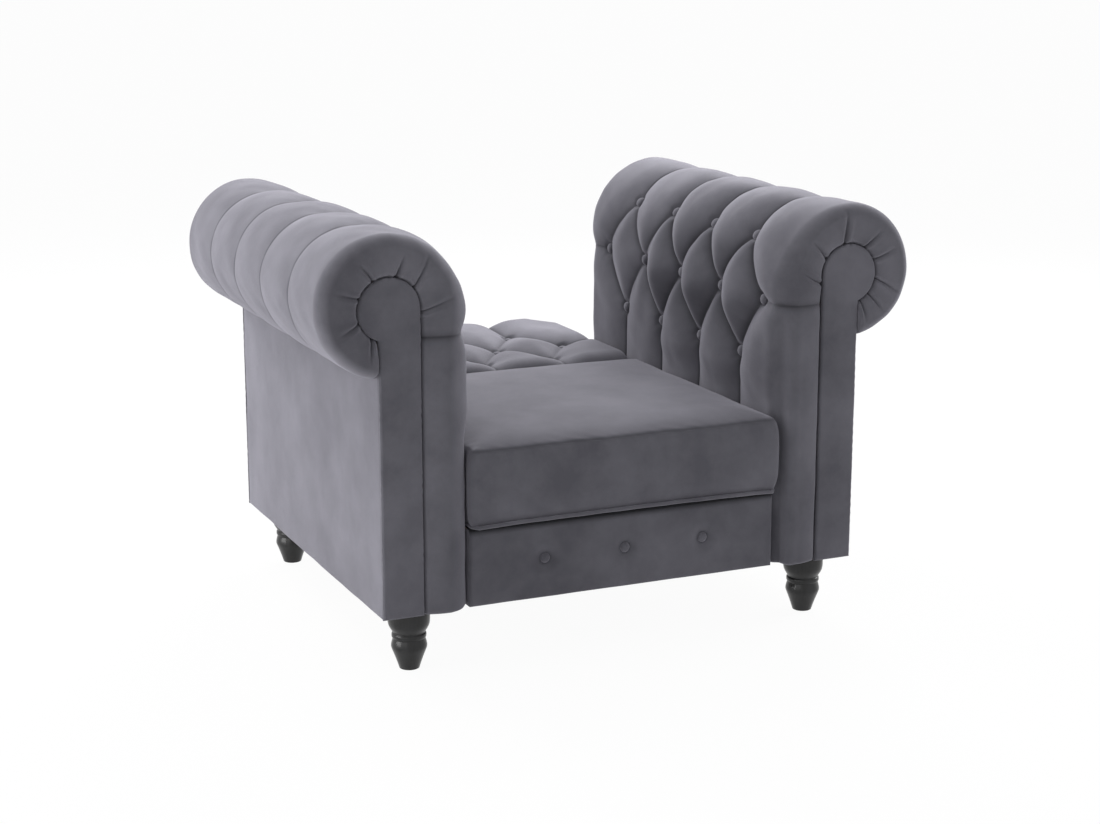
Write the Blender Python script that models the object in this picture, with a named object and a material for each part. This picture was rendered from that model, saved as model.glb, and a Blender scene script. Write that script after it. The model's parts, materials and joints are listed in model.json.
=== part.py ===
"""A tufted lounge chair with rolled arms and a back that folds down flat behind the seat.

Units are metres, +Z is up and the chair faces -Y. The origin is on the floor, under the
middle of the chair with its back folded down.
"""

import math

import bmesh
import bpy
from mathutils import Matrix, Vector
from mathutils.geometry import intersect_point_line

# Clearances
GAP = 0.0003  # between pieces that touch
BORE_CLEARANCE = 0.0003  # round a bolt or a pin
CUSHION_CLEARANCE = 0.002  # from the seat cushion to each arm pad
FOLD_CLEARANCE = 0.006  # from the folding back to each arm pad
FOLD_GAP = 0.003  # from the seat cushion to the sweep of the back

# Arms
SEAT_WIDTH = 0.626  # between the crests of the two arm pads
ARM_DEPTH = 0.860
ARM_HEIGHT = 0.810  # from the floor to the top of the roll
BAND_WIDTH = 0.092  # padded band between the seat and the facing
FACING_WIDTH = 0.078  # column of the facing
HEAD_OVERHANG = 0.036  # how far the facing's round head stands out past its column
HEAD_DROP = 0.005  # head centre below the roll centre
HEAD_SHIFT = 0.005  # head centre inside the roll centre
ROLL_PADDING = 0.071  # padding round the facing's head
ROLL_EASE = 0.045  # the inside starts to curve this far below the roll centre
ROLL_SEAM = 0.0015  # end of the padding outside the outer panel
ARM_FOAM = 0.040
LIP_THICKNESS = 0.014  # padding in front of the front board and behind the rear board
FACING_RECESS = 0.002
EDGE_ROUNDING = 0.030  # front and rear edges of the arm padding
SHEET_THICKNESS = 0.005
BOARD_THICKNESS = 0.018
OUTER_PANEL_THICKNESS = 0.012
BASE_RAIL_HEIGHT = 0.045
STRETCHER_WIDTH = 0.025
STRETCHER_HEIGHT = 0.060
STRETCHER_RISE = 0.280  # stretcher above the base rail
TOP_RAIL_SIDE = 0.050

# Tufting
ARM_BUTTON_PITCH = 0.170
ARM_ROW_SPACING = 0.116
ARM_LOW_ROW = 0.508  # lowest row of arm buttons above the floor
ARM_ROWS = (4, 5, 4)
BACK_BUTTON_PITCH = 0.1575
BACK_ROW_SPACING = 0.125
BACK_FIRST_ROW = 0.038  # first row of back buttons behind the fold axis
BACK_ROWS = (3, 4, 3)
COVER_THICKNESS = 0.003  # least padding left under a pleat
PLEAT_DEPTH = 0.012
CHANNEL_DEPTH = 0.004  # far end of the sewn channels over a roll
PLEAT_REACH = 0.060  # how far the padding slopes away from a pleat
DIMPLE_DEPTH = 0.009
DIMPLE_REACH = 0.024
SAMPLES_PER_PITCH = 6
ROW_STEPS = 4
ROLL_STEPS = 13

# Feet
FOOT_HEIGHT = 0.115
FOOT_TOE_RADIUS = 0.0188
FOOT_BULB_RADIUS = 0.0332
FOOT_BULB_HEIGHT = 0.0415
FOOT_NECK_RADIUS = 0.0300
FOOT_BEAD_RADIUS = 0.0320
FOOT_BEAD_HEIGHT = 0.0640
FOOT_BEAD_THICKNESS = 0.010
FOOT_BELL_RADIUS = 0.0390
FOOT_BELL_HEIGHT = 0.084
FOOT_FRONT_INSET = 0.063
FOOT_REAR_INSET = 0.083
FOOT_SIDE_INSET = 0.069  # from the outer panel
TURNING_STEPS = 20

# Bolts
BOLT_RADIUS = 0.004
BOLT_HEAD_RADIUS = 0.0075
BOLT_HEAD_THICKNESS = 0.005
FOOT_BOLT_DEPTH = 0.030  # in the foot, and in the base rail
ARM_BOLT_DEPTH = 0.035  # in the base rail
ARM_BOLT_RISE = 0.023  # above the underside of the rails
ARM_BOLT_FRONT = 0.130  # behind the front of the arms
ARM_BOLT_SPACING = 0.420
ROUND_STEPS = 12

# Seat box and cushion
SEAT_HEIGHT = 0.426
SEAT_DEPTH = 0.594
CUSHION_SETBACK = 0.001  # behind the front of the arms
CUSHION_HEIGHT = 0.164
CUSHION_CROWN = 0.015
CUSHION_CORNER = 0.016
CUSHION_WAIST = 0.003  # how far each side draws in between its corners
CUSHION_EDGE = 0.009  # rounding of the top edge
PIPING_RADIUS = 0.0025
FRONT_COVER_SETBACK = 0.0126
FRONT_COVER_THICKNESS = 0.014
FRONT_COVER_ROUNDING = 0.004
FRONT_BUTTON_PITCH = 0.163
FRONT_BUTTON_RISE = 0.075  # above the underside of the rail
FRONT_BUTTON_RADIUS = 0.0093
FRONT_BUTTON_THICKNESS = 0.006
FRONT_DIMPLE_DEPTH = 0.005
FRONT_DIMPLE_MARGIN = 0.001  # flat floor of a dimple past its button
FRONT_DIMPLE_SLOPE = 0.016
RAIL_THICKNESS = 0.022
SLAT_COUNT = 4
SLAT_WIDTH = 0.070
SLAT_THICKNESS = 0.012
DUST_COVER_THICKNESS = 0.0015

# Folding back and its hinge
BACK_LENGTH = 0.454  # from the fold axis to the far end
BACK_ROUND = 0.060  # the axis lies this far under the face, and the ends are rounded to it
BACK_RISE = 0.012  # crest of the back above the edge of the seat
BACK_FOAM = 0.034
BACK_WRAP_ANGLE = math.radians(170)  # where the padding ends in front of the axis
BACK_WRAP_EDGE = 0.012  # thickness of the padding at that end
BACK_TUCK_ANGLE = math.radians(-70)  # where the padding ends under the far end
BACK_EDGE_ROUNDING = 0.020
BACK_CORNER = 0.065  # rounding of the two far corners
BACK_STILE_WIDTH = 0.020
BACK_RAIL_WIDTH = 0.045
BACK_PANEL_THICKNESS = 0.012
HINGE_OFFSET = 0.065  # back frame behind the axis, clear of the fixed plate
HINGE_PLATE_THICKNESS = 0.004
HINGE_EYE_RADIUS = 0.013
HINGE_ARM_LENGTH = 0.160
HINGE_FOOT_WIDTH = 0.060
HINGE_FOOT_HEIGHT = 0.080
HINGE_FOOT_OFFSET = 0.020  # foot of the fixed plate behind the axis
HINGE_FOOT_INSET = 0.005  # under the top of the side rail
HINGE_TAIL = 0.035  # rear board behind the foot of the plate
PIN_RADIUS = 0.004
PIN_HEAD_RADIUS = 0.008
PIN_HEAD_THICKNESS = 0.003

# Finishes: colour, roughness and metallic value
FINISHES = {
    "velvet": ((0.205, 0.202, 0.225), 0.85, 0.0),
    "timber": ((0.55, 0.40, 0.25), 0.70, 0.0),
    "black_wood": ((0.022, 0.022, 0.023), 0.38, 0.0),
    "steel": ((0.55, 0.55, 0.56), 0.35, 1.0),
    "dust_cloth": ((0.03, 0.03, 0.03), 0.95, 0.0),
}

# Places worked out from the sizes above
SIDES = {"left": -1, "right": 1}
CHAIR_DEPTH = CUSHION_SETBACK + SEAT_DEPTH + FOLD_GAP + BACK_ROUND + BACK_LENGTH
FRONT = -CHAIR_DEPTH / 2
ARM_REAR = FRONT + ARM_DEPTH
BOARD_FRONT = FRONT + LIP_THICKNESS + GAP
BOARD_REAR = ARM_REAR - LIP_THICKNESS - GAP
FACE_X = SEAT_WIDTH / 2
FACING_X = FACE_X + BAND_WIDTH
OUTER_X = FACING_X + FACING_WIDTH
FRAME_OUTER_X = OUTER_X - OUTER_PANEL_THICKNESS - GAP
HEAD_RADIUS = (FACING_WIDTH + HEAD_OVERHANG) / 2
HEAD_X = FACING_X + HEAD_RADIUS
ROLL_RADIUS = HEAD_RADIUS + ROLL_PADDING
ROLL_X = HEAD_X + HEAD_SHIFT
ROLL_Z = ARM_HEIGHT - ROLL_RADIUS
ROLL_START = ROLL_Z - ROLL_EASE
HEAD_Z = ROLL_Z - HEAD_DROP
BASE_Z = FOOT_HEIGHT + GAP
BASE_TOP = BASE_Z + BASE_RAIL_HEIGHT
PAD_BOTTOM = BASE_TOP + GAP
SHEET_DEPTH = ARM_FOAM + GAP
BOARD_DEPTH = SHEET_DEPTH + SHEET_THICKNESS + GAP

BOX_X = FACE_X - GAP
SIDE_RAIL_X = BOX_X - RAIL_THICKNESS
CUSHION_BOTTOM = SEAT_HEIGHT - CUSHION_HEIGHT
RAIL_TOP = CUSHION_BOTTOM - GAP
SIDE_RAIL_TOP = RAIL_TOP - SLAT_THICKNESS - GAP
COVER_FRONT = FRONT + FRONT_COVER_SETBACK
FRONT_BOARD_FRONT = COVER_FRONT + FRONT_COVER_THICKNESS + GAP
SIDE_RAIL_FRONT = FRONT_BOARD_FRONT + RAIL_THICKNESS + GAP
FRONT_DIMPLE_FLAT = FRONT_BUTTON_RADIUS + FRONT_DIMPLE_MARGIN
FRONT_DIMPLE_REACH = FRONT_DIMPLE_FLAT + FRONT_DIMPLE_SLOPE
CUSHION_X = FACE_X - CUSHION_CLEARANCE
CUSHION_MIDDLE = FRONT + CUSHION_SETBACK + SEAT_DEPTH / 2
CUSHION_REAR = FRONT + CUSHION_SETBACK + SEAT_DEPTH
PIPING_SEAT = 2 * PIPING_RADIUS + (PIPING_RADIUS + 2 * GAP) * math.sqrt(2)

AXIS_Y = CUSHION_REAR + FOLD_GAP + BACK_ROUND
AXIS_Z = SEAT_HEIGHT - CUSHION_CROWN + BACK_RISE - BACK_ROUND
BACK_X = FACE_X - FOLD_CLEARANCE
BACK_INNER = BACK_ROUND - BACK_FOAM
BACK_FRAME_END = BACK_LENGTH - BACK_ROUND - GAP
HINGE_PLATE_X = SIDE_RAIL_X - GAP - HINGE_PLATE_THICKNESS
HINGE_ARM_X = HINGE_PLATE_X - GAP - HINGE_PLATE_THICKNESS
STILE_X = HINGE_ARM_X + HINGE_PLATE_THICKNESS + GAP
HINGE_FOOT_TOP = SIDE_RAIL_TOP - HINGE_FOOT_INSET
SIDE_RAIL_REAR = AXIS_Y + HINGE_FOOT_OFFSET + HINGE_FOOT_WIDTH + HINGE_TAIL


def add_finish(obj, finish):
    """Gives an object a material of its own in one of the chair's finishes."""
    colour, roughness, metallic = FINISHES[finish]
    material = bpy.data.materials.new(f"{obj.name}_{finish}")
    material.use_nodes = True
    shader = material.node_tree.nodes["Principled BSDF"]
    shader.inputs["Base Color"].default_value = (*colour, 1.0)
    shader.inputs["Roughness"].default_value = roughness
    shader.inputs["Metallic"].default_value = metallic
    obj.data.materials.append(material)


def finished(name, bm, finish, parent=None):
    """Turns a bmesh into a named object, with its faces pointing out."""
    bmesh.ops.recalc_face_normals(bm, faces=bm.faces)
    mesh = bpy.data.meshes.new(name)
    bm.to_mesh(mesh)
    bm.free()
    obj = bpy.data.objects.new(name, mesh)
    bpy.context.scene.collection.objects.link(obj)
    obj.parent = parent
    add_finish(obj, finish)
    return obj


def shade_round(obj):
    """Smooth shading that keeps the sharp edges."""
    obj.data.shade_smooth()
    obj.data.set_sharp_from_angle(angle=math.radians(35))


def loft(name, rings, finish, parent=None):
    """A closed solid with a skin through rings of points and a flat cap on the first and last."""
    bm = bmesh.new()
    rows = []
    for ring in rings:
        rows.append([bm.verts.new(point) for point in ring])
    for row, following in zip(rows, rows[1:]):
        for i in range(len(row)):
            bm.faces.new((row[i - 1], row[i], following[i], following[i - 1]))
    bm.faces.new(rows[0])
    bm.faces.new(rows[-1])
    return finished(name, bm, finish, parent)


def prism(name, outline, axis, start, end, finish, parent=None):
    """A flat outline pushed along an axis. Its pairs are in the other two axes, in their order."""
    rings = []
    for level in (start, end):
        ring = []
        for point in outline:
            place = list(point)
            place.insert("XYZ".index(axis), level)
            ring.append(place)
        rings.append(ring)
    return loft(name, rings, finish, parent)


def box(name, low, high, finish, parent=None):
    """A rectangular block between two corners."""
    outline = ((low[0], low[1]), (high[0], low[1]), (high[0], high[1]), (low[0], high[1]))
    return prism(name, outline, "Z", low[2], high[2], finish, parent)


def side_box(name, sign, low, high, finish, parent=None):
    """A block given for the right side of the chair, mirrored for the left when sign is -1."""
    near, far = sorted((sign * low[0], sign * high[0]))
    return box(name, (near, *low[1:]), (far, *high[1:]), finish, parent)


def turned(name, profile, finish, steps, location, turn=None, parent=None):
    """A profile of (radius, height) pairs spun about Z, then turned and set in place."""
    bm = bmesh.new()
    verts = [bm.verts.new((radius, 0, height)) for radius, height in profile]
    edges = [bm.edges.new(pair) for pair in zip(verts, verts[1:])]
    bmesh.ops.spin(
        bm,
        geom=verts + edges,
        cent=(0, 0, 0),
        axis=(0, 0, 1),
        angle=2 * math.pi,
        steps=steps,
        use_merge=True,
    )
    bmesh.ops.remove_doubles(bm, verts=bm.verts, dist=0.000001)
    obj = finished(name, bm, finish, parent)
    obj.location = location
    if turn is not None:
        obj.rotation_euler = turn.to_euler()
    shade_round(obj)
    return obj


def bore(target, centre, radius, depth, turn=None):
    """Cuts a round hole that starts at centre and runs for depth along the turned +Z axis."""
    bm = bmesh.new()
    bmesh.ops.create_cone(
        bm,
        cap_ends=True,
        segments=ROUND_STEPS,
        radius1=radius,
        radius2=radius,
        depth=depth,
        matrix=Matrix.Translation((0, 0, depth / 2)),
    )
    cutter = finished(f"{target.name}_cutter_{len(target.modifiers)}", bm, "steel", target.parent)
    cutter.location = centre
    if turn is not None:
        cutter.rotation_euler = turn.to_euler()
    cutter.hide_render = True
    cutter.display_type = "WIRE"
    cut = target.modifiers.new("bore", "BOOLEAN")
    cut.operation = "DIFFERENCE"
    cut.object = cutter


def spread(first, *stops):
    """Evenly spaced values from first through each (value, steps) stop."""
    values = [first]
    for value, steps in stops:
        start = values[-1]
        values += [start + (value - start) * (step + 1) / steps for step in range(steps)]
    return values


class PadPath:
    """The crest line of a pad, with the point under it where the padding ends."""

    def __init__(self, crest, floor):
        self.crest = crest
        self.floor = floor
        self.lengths = [0.0]
        for here, following in zip(crest, crest[1:]):
            self.lengths.append(self.lengths[-1] + (following - here).length)

    def at(self, along):
        """Crest point, unit direction into the padding, and its thickness, at a length."""
        i = 1
        while i < len(self.lengths) - 1 and self.lengths[i] < along:
            i += 1
        share = (along - self.lengths[i - 1]) / (self.lengths[i] - self.lengths[i - 1])
        crest = self.crest[i - 1].lerp(self.crest[i], share)
        floor = self.floor[i - 1].lerp(self.floor[i], share)
        return crest, (floor - crest).normalized(), (floor - crest).length


class Tufting:
    """Rows of buttons joined by sewn pleats, in lengths along a pad and across it."""

    def __init__(self, rows, counts, pitch, edges, ends, far_depth):
        middle = (edges[0] + edges[1]) / 2
        self.buttons = []
        for along, count in zip(rows, counts):
            shift = middle - pitch * (count - 1) / 2
            self.buttons.append([Vector((along, shift + pitch * k)) for k in range(count)])
        self.pleats = []
        for row, following in zip(self.buttons, self.buttons[1:]):
            for here in row:
                for there in following:
                    if abs(here.y - there.y) < pitch * 0.75:
                        self.pleats.append((here, there, PLEAT_DEPTH))
        outer_rows = ((self.buttons[0], ends[0], PLEAT_DEPTH), (self.buttons[-1], ends[1], far_depth))
        for row, end, depth in outer_rows:
            self.pleats += [(here, Vector((end, here.y)), depth) for here in row]
        widest = max(self.buttons, key=len)
        for here, edge in ((widest[0], edges[0]), (widest[-1], edges[1])):
            self.pleats.append((here, Vector((here.x, edge)), PLEAT_DEPTH))

    def depth(self, along, across):
        """How far the cover is drawn in below the crest of the padding."""
        here = Vector((along, across))
        pull = 0.0
        for start, end, end_depth in self.pleats:
            _, share = intersect_point_line(here, start, end)
            share = min(max(share, 0.0), 1.0)
            away = min((here - start.lerp(end, share)).length / PLEAT_REACH, 1.0)
            drawn = PLEAT_DEPTH + (end_depth - PLEAT_DEPTH) * share
            pull = max(pull, drawn * (1 - away) ** 2)
        reach = min((here - button).length for row in self.buttons for button in row)
        return pull + DIMPLE_DEPTH * math.exp(-((reach / DIMPLE_REACH) ** 2))


def across_samples(low, high, pitch, rounding):
    """Places across a pad: its two rounded edges, and even steps that meet every button."""
    step = pitch / SAMPLES_PER_PITCH
    count = math.floor(((high - low) / 2 - rounding) / step - 0.25)
    edge = [0.0, 0.3 * rounding, rounding]
    inner = [(low + high) / 2 + step * k for k in range(-count, count + 1)]
    return [low + inset for inset in edge] + inner + [high - inset for inset in reversed(edge)]


def edge_drop(across, low, high, rounding):
    """How far a rounded edge falls away at a place across a pad."""
    short = rounding - min(across - low, high - across, rounding)
    return rounding - math.sqrt(rounding**2 - short**2)


def spoke(angle):
    """Unit direction at an angle in a flat section."""
    return Vector((math.cos(angle), math.sin(angle)))


def arm_path():
    """Up the inside of the right arm, over its roll and down to the outer panel, as (x, z)."""
    crest = [Vector((FACE_X, PAD_BOTTOM)), Vector((FACE_X, ROLL_START))]
    facing = [Vector((FACING_X, PAD_BOTTOM)), Vector((FACING_X, ROLL_START))]
    roll = Vector((ROLL_X, ROLL_Z))
    head = Vector((HEAD_X, HEAD_Z))
    column = HEAD_Z - ROLL_START
    quarter = HEAD_RADIUS * math.pi / 2
    steps = 60
    for step in range(1, steps + 1):
        ray = spoke(math.pi - math.pi / 2 * step / steps)
        inner = Vector(((ROLL_X - FACE_X) * ray.x, (ARM_HEIGHT - ROLL_START) * ray.y))
        crest.append(Vector((ROLL_X, ROLL_START)) + inner)
        climb = (column + quarter) * step / steps
        if climb < column:
            facing.append(Vector((FACING_X, ROLL_START + climb)))
        else:
            facing.append(head + HEAD_RADIUS * spoke(math.pi - (climb - column) / HEAD_RADIUS))
    roll_turn = math.pi / 2 + math.acos((OUTER_X + ROLL_SEAM - ROLL_X) / ROLL_RADIUS)
    head_turn = math.pi / 2 + math.acos((OUTER_X - HEAD_X) / HEAD_RADIUS)
    for step in range(1, steps + 1):
        crest.append(roll + ROLL_RADIUS * spoke(math.pi / 2 - roll_turn * step / steps))
        facing.append(head + HEAD_RADIUS * spoke(math.pi / 2 - head_turn * step / steps))
    return PadPath(crest, facing)


ARM_PATH = arm_path()
ARM_LENGTH = ARM_PATH.lengths[-1]
ARM_ROW_LENGTHS = [ARM_LOW_ROW - PAD_BOTTOM + ARM_ROW_SPACING * k for k in range(len(ARM_ROWS))]
ARM_STATIONS = spread(
    0.0,
    *[(length, ROW_STEPS) for length in ARM_ROW_LENGTHS],
    (ARM_LENGTH, ROLL_STEPS),
)
ROLL_END = ARM_PATH.crest[-1]
NECK = ARM_PATH.floor[-1]


def arm_line(depth):
    """Points under the crest of the right arm, at a depth below it. None means past the padding."""
    points = []
    for along in ARM_STATIONS:
        crest, inward, thickness = ARM_PATH.at(along)
        points.append(crest + inward * (thickness + GAP if depth is None else depth))
    return points


def mirrored(points, sign):
    """The same (x, z) points on the side of the chair that sign names."""
    return [(sign * point[0], point[1]) for point in points]


def arm_pad(side, sign):
    tufting = Tufting(
        ARM_ROW_LENGTHS,
        ARM_ROWS,
        ARM_BUTTON_PITCH,
        edges=(FRONT, ARM_REAR),
        ends=(0.0, ARM_LENGTH),
        far_depth=CHANNEL_DEPTH,
    )
    samples = across_samples(FRONT, ARM_REAR, ARM_BUTTON_PITCH, EDGE_ROUNDING)
    rings = []
    for along in ARM_STATIONS:
        crest, inward, thickness = ARM_PATH.at(along)
        section = []
        for y in samples:
            drop = edge_drop(y, FRONT, ARM_REAR, EDGE_ROUNDING)
            section.append((max(drop, tufting.depth(along, y)), y))
        section.append((thickness, ARM_REAR))
        section.append((thickness, ARM_REAR - LIP_THICKNESS))
        section.append((ARM_FOAM, ARM_REAR - LIP_THICKNESS))
        section.append((ARM_FOAM, FRONT + LIP_THICKNESS))
        section.append((thickness, FRONT + LIP_THICKNESS))
        section.append((thickness, FRONT))
        ring = []
        for depth, y in section:
            place = crest + inward * depth
            ring.append((sign * place.x, y, place.y))
        rings.append(ring)
    pad = loft(f"{side}_arm_pad", rings, "velvet")
    shade_round(pad)


def arm_facings(side, sign):
    outline = [(FACING_X + GAP, BASE_Z), *arm_line(None), (OUTER_X, NECK.y), (OUTER_X, BASE_Z)]
    outline = mirrored(outline, sign)
    front = FRONT + FACING_RECESS
    rear = ARM_REAR - FACING_RECESS
    prism(f"{side}_arm_front_facing", outline, "Y", front, FRONT + LIP_THICKNESS, "velvet")
    prism(f"{side}_arm_rear_facing", outline, "Y", ARM_REAR - LIP_THICKNESS, rear, "velvet")


def arm_frame(side, sign):
    """Scroll boards, the curved sheet over them, and the rails between them."""
    line = arm_line(BOARD_DEPTH)
    outline = mirrored([*line, (FRAME_OUTER_X, line[-1].y), (FRAME_OUTER_X, PAD_BOTTOM)], sign)
    front_end = BOARD_FRONT + BOARD_THICKNESS
    rear_end = BOARD_REAR - BOARD_THICKNESS
    prism(f"{side}_arm_front_board", outline, "Y", BOARD_FRONT, front_end, "timber")
    prism(f"{side}_arm_rear_board", outline, "Y", rear_end, BOARD_REAR, "timber")
    under = reversed(arm_line(SHEET_DEPTH + SHEET_THICKNESS))
    outline = mirrored([*arm_line(SHEET_DEPTH), *under], sign)
    sheet = prism(f"{side}_arm_inner_sheet", outline, "Y", BOARD_FRONT, BOARD_REAR, "timber")
    shade_round(sheet)
    rail_front = front_end + GAP
    rail_rear = rear_end - GAP
    low = (FACE_X + BOARD_DEPTH, rail_front, BASE_TOP + STRETCHER_RISE)
    high = (low[0] + STRETCHER_WIDTH, rail_rear, low[2] + STRETCHER_HEIGHT)
    side_box(f"{side}_arm_stretcher", sign, low, high, "timber")
    half = TOP_RAIL_SIDE / 2
    low = (HEAD_X - half, rail_front, HEAD_Z - half)
    high = (HEAD_X + half, rail_rear, HEAD_Z + half)
    side_box(f"{side}_arm_top_rail", sign, low, high, "timber")


def arm_outer_panel(side, sign):
    low = (OUTER_X - OUTER_PANEL_THICKNESS, BOARD_FRONT, BASE_Z)
    high = (OUTER_X, BOARD_REAR, (ROLL_END.y + NECK.y) / 2)
    side_box(f"{side}_arm_outer_panel", sign, low, high, "velvet")


def foot_places():
    """Name and centre of each foot."""
    for side, sign in SIDES.items():
        x = sign * (OUTER_X - FOOT_SIDE_INSET)
        yield f"front_{side}", x, FRONT + FOOT_FRONT_INSET
        yield f"rear_{side}", x, ARM_REAR - FOOT_REAR_INSET


def arm_bolt_places():
    """Place along the arms and height of each bolt between the seat box and an arm."""
    front = FRONT + ARM_BOLT_FRONT
    return (("front", front), ("rear", front + ARM_BOLT_SPACING))


def sideways(sign):
    """Turns +Z to point outwards on the side of the chair that sign names."""
    return Matrix.Rotation(sign * math.pi / 2, 3, "Y")


def arm_base_rail(side, sign):
    """The bottom rail of an arm, rounded as the padding above it and notched for the facings."""
    corner = []
    for step in range(5):
        angle = math.pi / 2 * step / 4
        corner.append((1 - math.sin(angle), 1 - math.cos(angle)))
    front = [(FACE_X + EDGE_ROUNDING * a, FRONT + EDGE_ROUNDING * b) for a, b in corner]
    rear = [(FACE_X + EDGE_ROUNDING * a, ARM_REAR - EDGE_ROUNDING * b) for a, b in corner]
    outline = [
        *front,
        *reversed(rear),
        (FACING_X, ARM_REAR),
        (FACING_X, BOARD_REAR),
        (FRAME_OUTER_X, BOARD_REAR),
        (FRAME_OUTER_X, BOARD_FRONT),
        (FACING_X, BOARD_FRONT),
        (FACING_X, FRONT),
    ]
    rail = prism(f"{side}_arm_base_rail", mirrored(outline, sign), "Z", BASE_Z, BASE_TOP, "velvet")
    radius = BOLT_RADIUS + BORE_CLEARANCE
    for name, x, y in foot_places():
        if name.endswith(side):
            bore(rail, (x, y, BASE_Z - GAP), radius, FOOT_BOLT_DEPTH + 2 * GAP)
    for _, y in arm_bolt_places():
        mouth = (sign * (FACE_X - GAP), y, BASE_Z + ARM_BOLT_RISE)
        bore(rail, mouth, radius, ARM_BOLT_DEPTH + 2 * GAP, sideways(sign))


def feet():
    """Turned feet, each bored from above for its hanger bolt."""
    bore_radius = BOLT_RADIUS + BORE_CLEARANCE
    bore_floor = FOOT_HEIGHT - FOOT_BOLT_DEPTH - GAP
    half_bead = FOOT_BEAD_THICKNESS / 2
    profile = [
        (0, bore_floor),
        (bore_radius, bore_floor),
        (bore_radius, FOOT_HEIGHT),
        (FOOT_BELL_RADIUS, FOOT_HEIGHT),
        (FOOT_BELL_RADIUS, FOOT_BELL_HEIGHT),
        ((FOOT_BELL_RADIUS + FOOT_NECK_RADIUS) / 2, (FOOT_BELL_HEIGHT + FOOT_BEAD_HEIGHT + half_bead) / 2),
        (FOOT_NECK_RADIUS, FOOT_BEAD_HEIGHT + half_bead),
        (FOOT_BEAD_RADIUS, FOOT_BEAD_HEIGHT),
        (FOOT_NECK_RADIUS, FOOT_BEAD_HEIGHT - half_bead),
        (FOOT_BULB_RADIUS, FOOT_BULB_HEIGHT),
        ((FOOT_BULB_RADIUS * 2 + FOOT_TOE_RADIUS) / 3, FOOT_BULB_HEIGHT / 2),
        (FOOT_TOE_RADIUS, 0),
        (0, 0),
    ]
    pin_top = FOOT_HEIGHT + GAP + FOOT_BOLT_DEPTH
    pin_floor = FOOT_HEIGHT - FOOT_BOLT_DEPTH
    pin = [(0, pin_top), (BOLT_RADIUS, pin_top), (BOLT_RADIUS, pin_floor), (0, pin_floor)]
    for name, x, y in foot_places():
        turned(f"foot_{name}", profile, "black_wood", TURNING_STEPS, (x, y, 0))
        turned(f"foot_bolt_{name}", pin, "steel", ROUND_STEPS, (x, y, 0))


def front_rail():
    """Padded cover with three buttons set in dimples, and the board behind it."""
    half = BOX_X
    width_offsets = (-FRONT_DIMPLE_REACH, -FRONT_DIMPLE_FLAT, 0, FRONT_DIMPLE_FLAT, FRONT_DIMPLE_REACH)
    buttons = [-FRONT_BUTTON_PITCH, 0.0, FRONT_BUTTON_PITCH]
    button_z = BASE_Z + FRONT_BUTTON_RISE
    stations = [-half, -half + FRONT_COVER_ROUNDING]
    for x in buttons:
        stations += [x + offset for offset in width_offsets]
    stations += [half - FRONT_COVER_ROUNDING, half]
    heights = [BASE_Z, BASE_Z + FRONT_COVER_ROUNDING]
    heights += [button_z + offset for offset in width_offsets]
    heights += [RAIL_TOP - FRONT_COVER_ROUNDING, RAIL_TOP]
    back = COVER_FRONT + FRONT_COVER_THICKNESS
    rings = []
    for x in stations:
        ring = []
        for z in heights:
            beside = max(min(abs(x - button) for button in buttons) - FRONT_DIMPLE_FLAT, 0.0)
            above = max(abs(z - button_z) - FRONT_DIMPLE_FLAT, 0.0)
            share = min(math.hypot(beside, above) / FRONT_DIMPLE_SLOPE, 1.0)
            depth = FRONT_DIMPLE_DEPTH * (1 - share * share * (3 - 2 * share))
            depth = max(depth, edge_drop(x, -half, half, FRONT_COVER_ROUNDING))
            depth = max(depth, edge_drop(z, BASE_Z, RAIL_TOP, FRONT_COVER_ROUNDING))
            ring.append((x, COVER_FRONT + depth, z))
        ring += [(x, back, RAIL_TOP), (x, back, BASE_Z)]
        rings.append(ring)
    shade_round(loft("front_rail_cover", rings, "velvet"))
    low = (-BOX_X, FRONT_BOARD_FRONT, BASE_Z)
    high = (BOX_X, FRONT_BOARD_FRONT + RAIL_THICKNESS, RAIL_TOP)
    box("front_rail_board", low, high, "timber")
    radius = FRONT_BUTTON_RADIUS
    top = FRONT_BUTTON_THICKNESS
    dome = [(0, top), (radius * 0.6, top * 0.9), (radius, top * 0.45), (radius * 0.9, 0), (0, 0)]
    seat = COVER_FRONT + FRONT_DIMPLE_DEPTH - GAP
    forwards = Matrix.Rotation(math.pi / 2, 3, "X")
    for name, x in zip(("left", "centre", "right"), buttons):
        turned(f"front_button_{name}", dome, "velvet", ROUND_STEPS, (x, seat, button_z), forwards)


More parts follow.
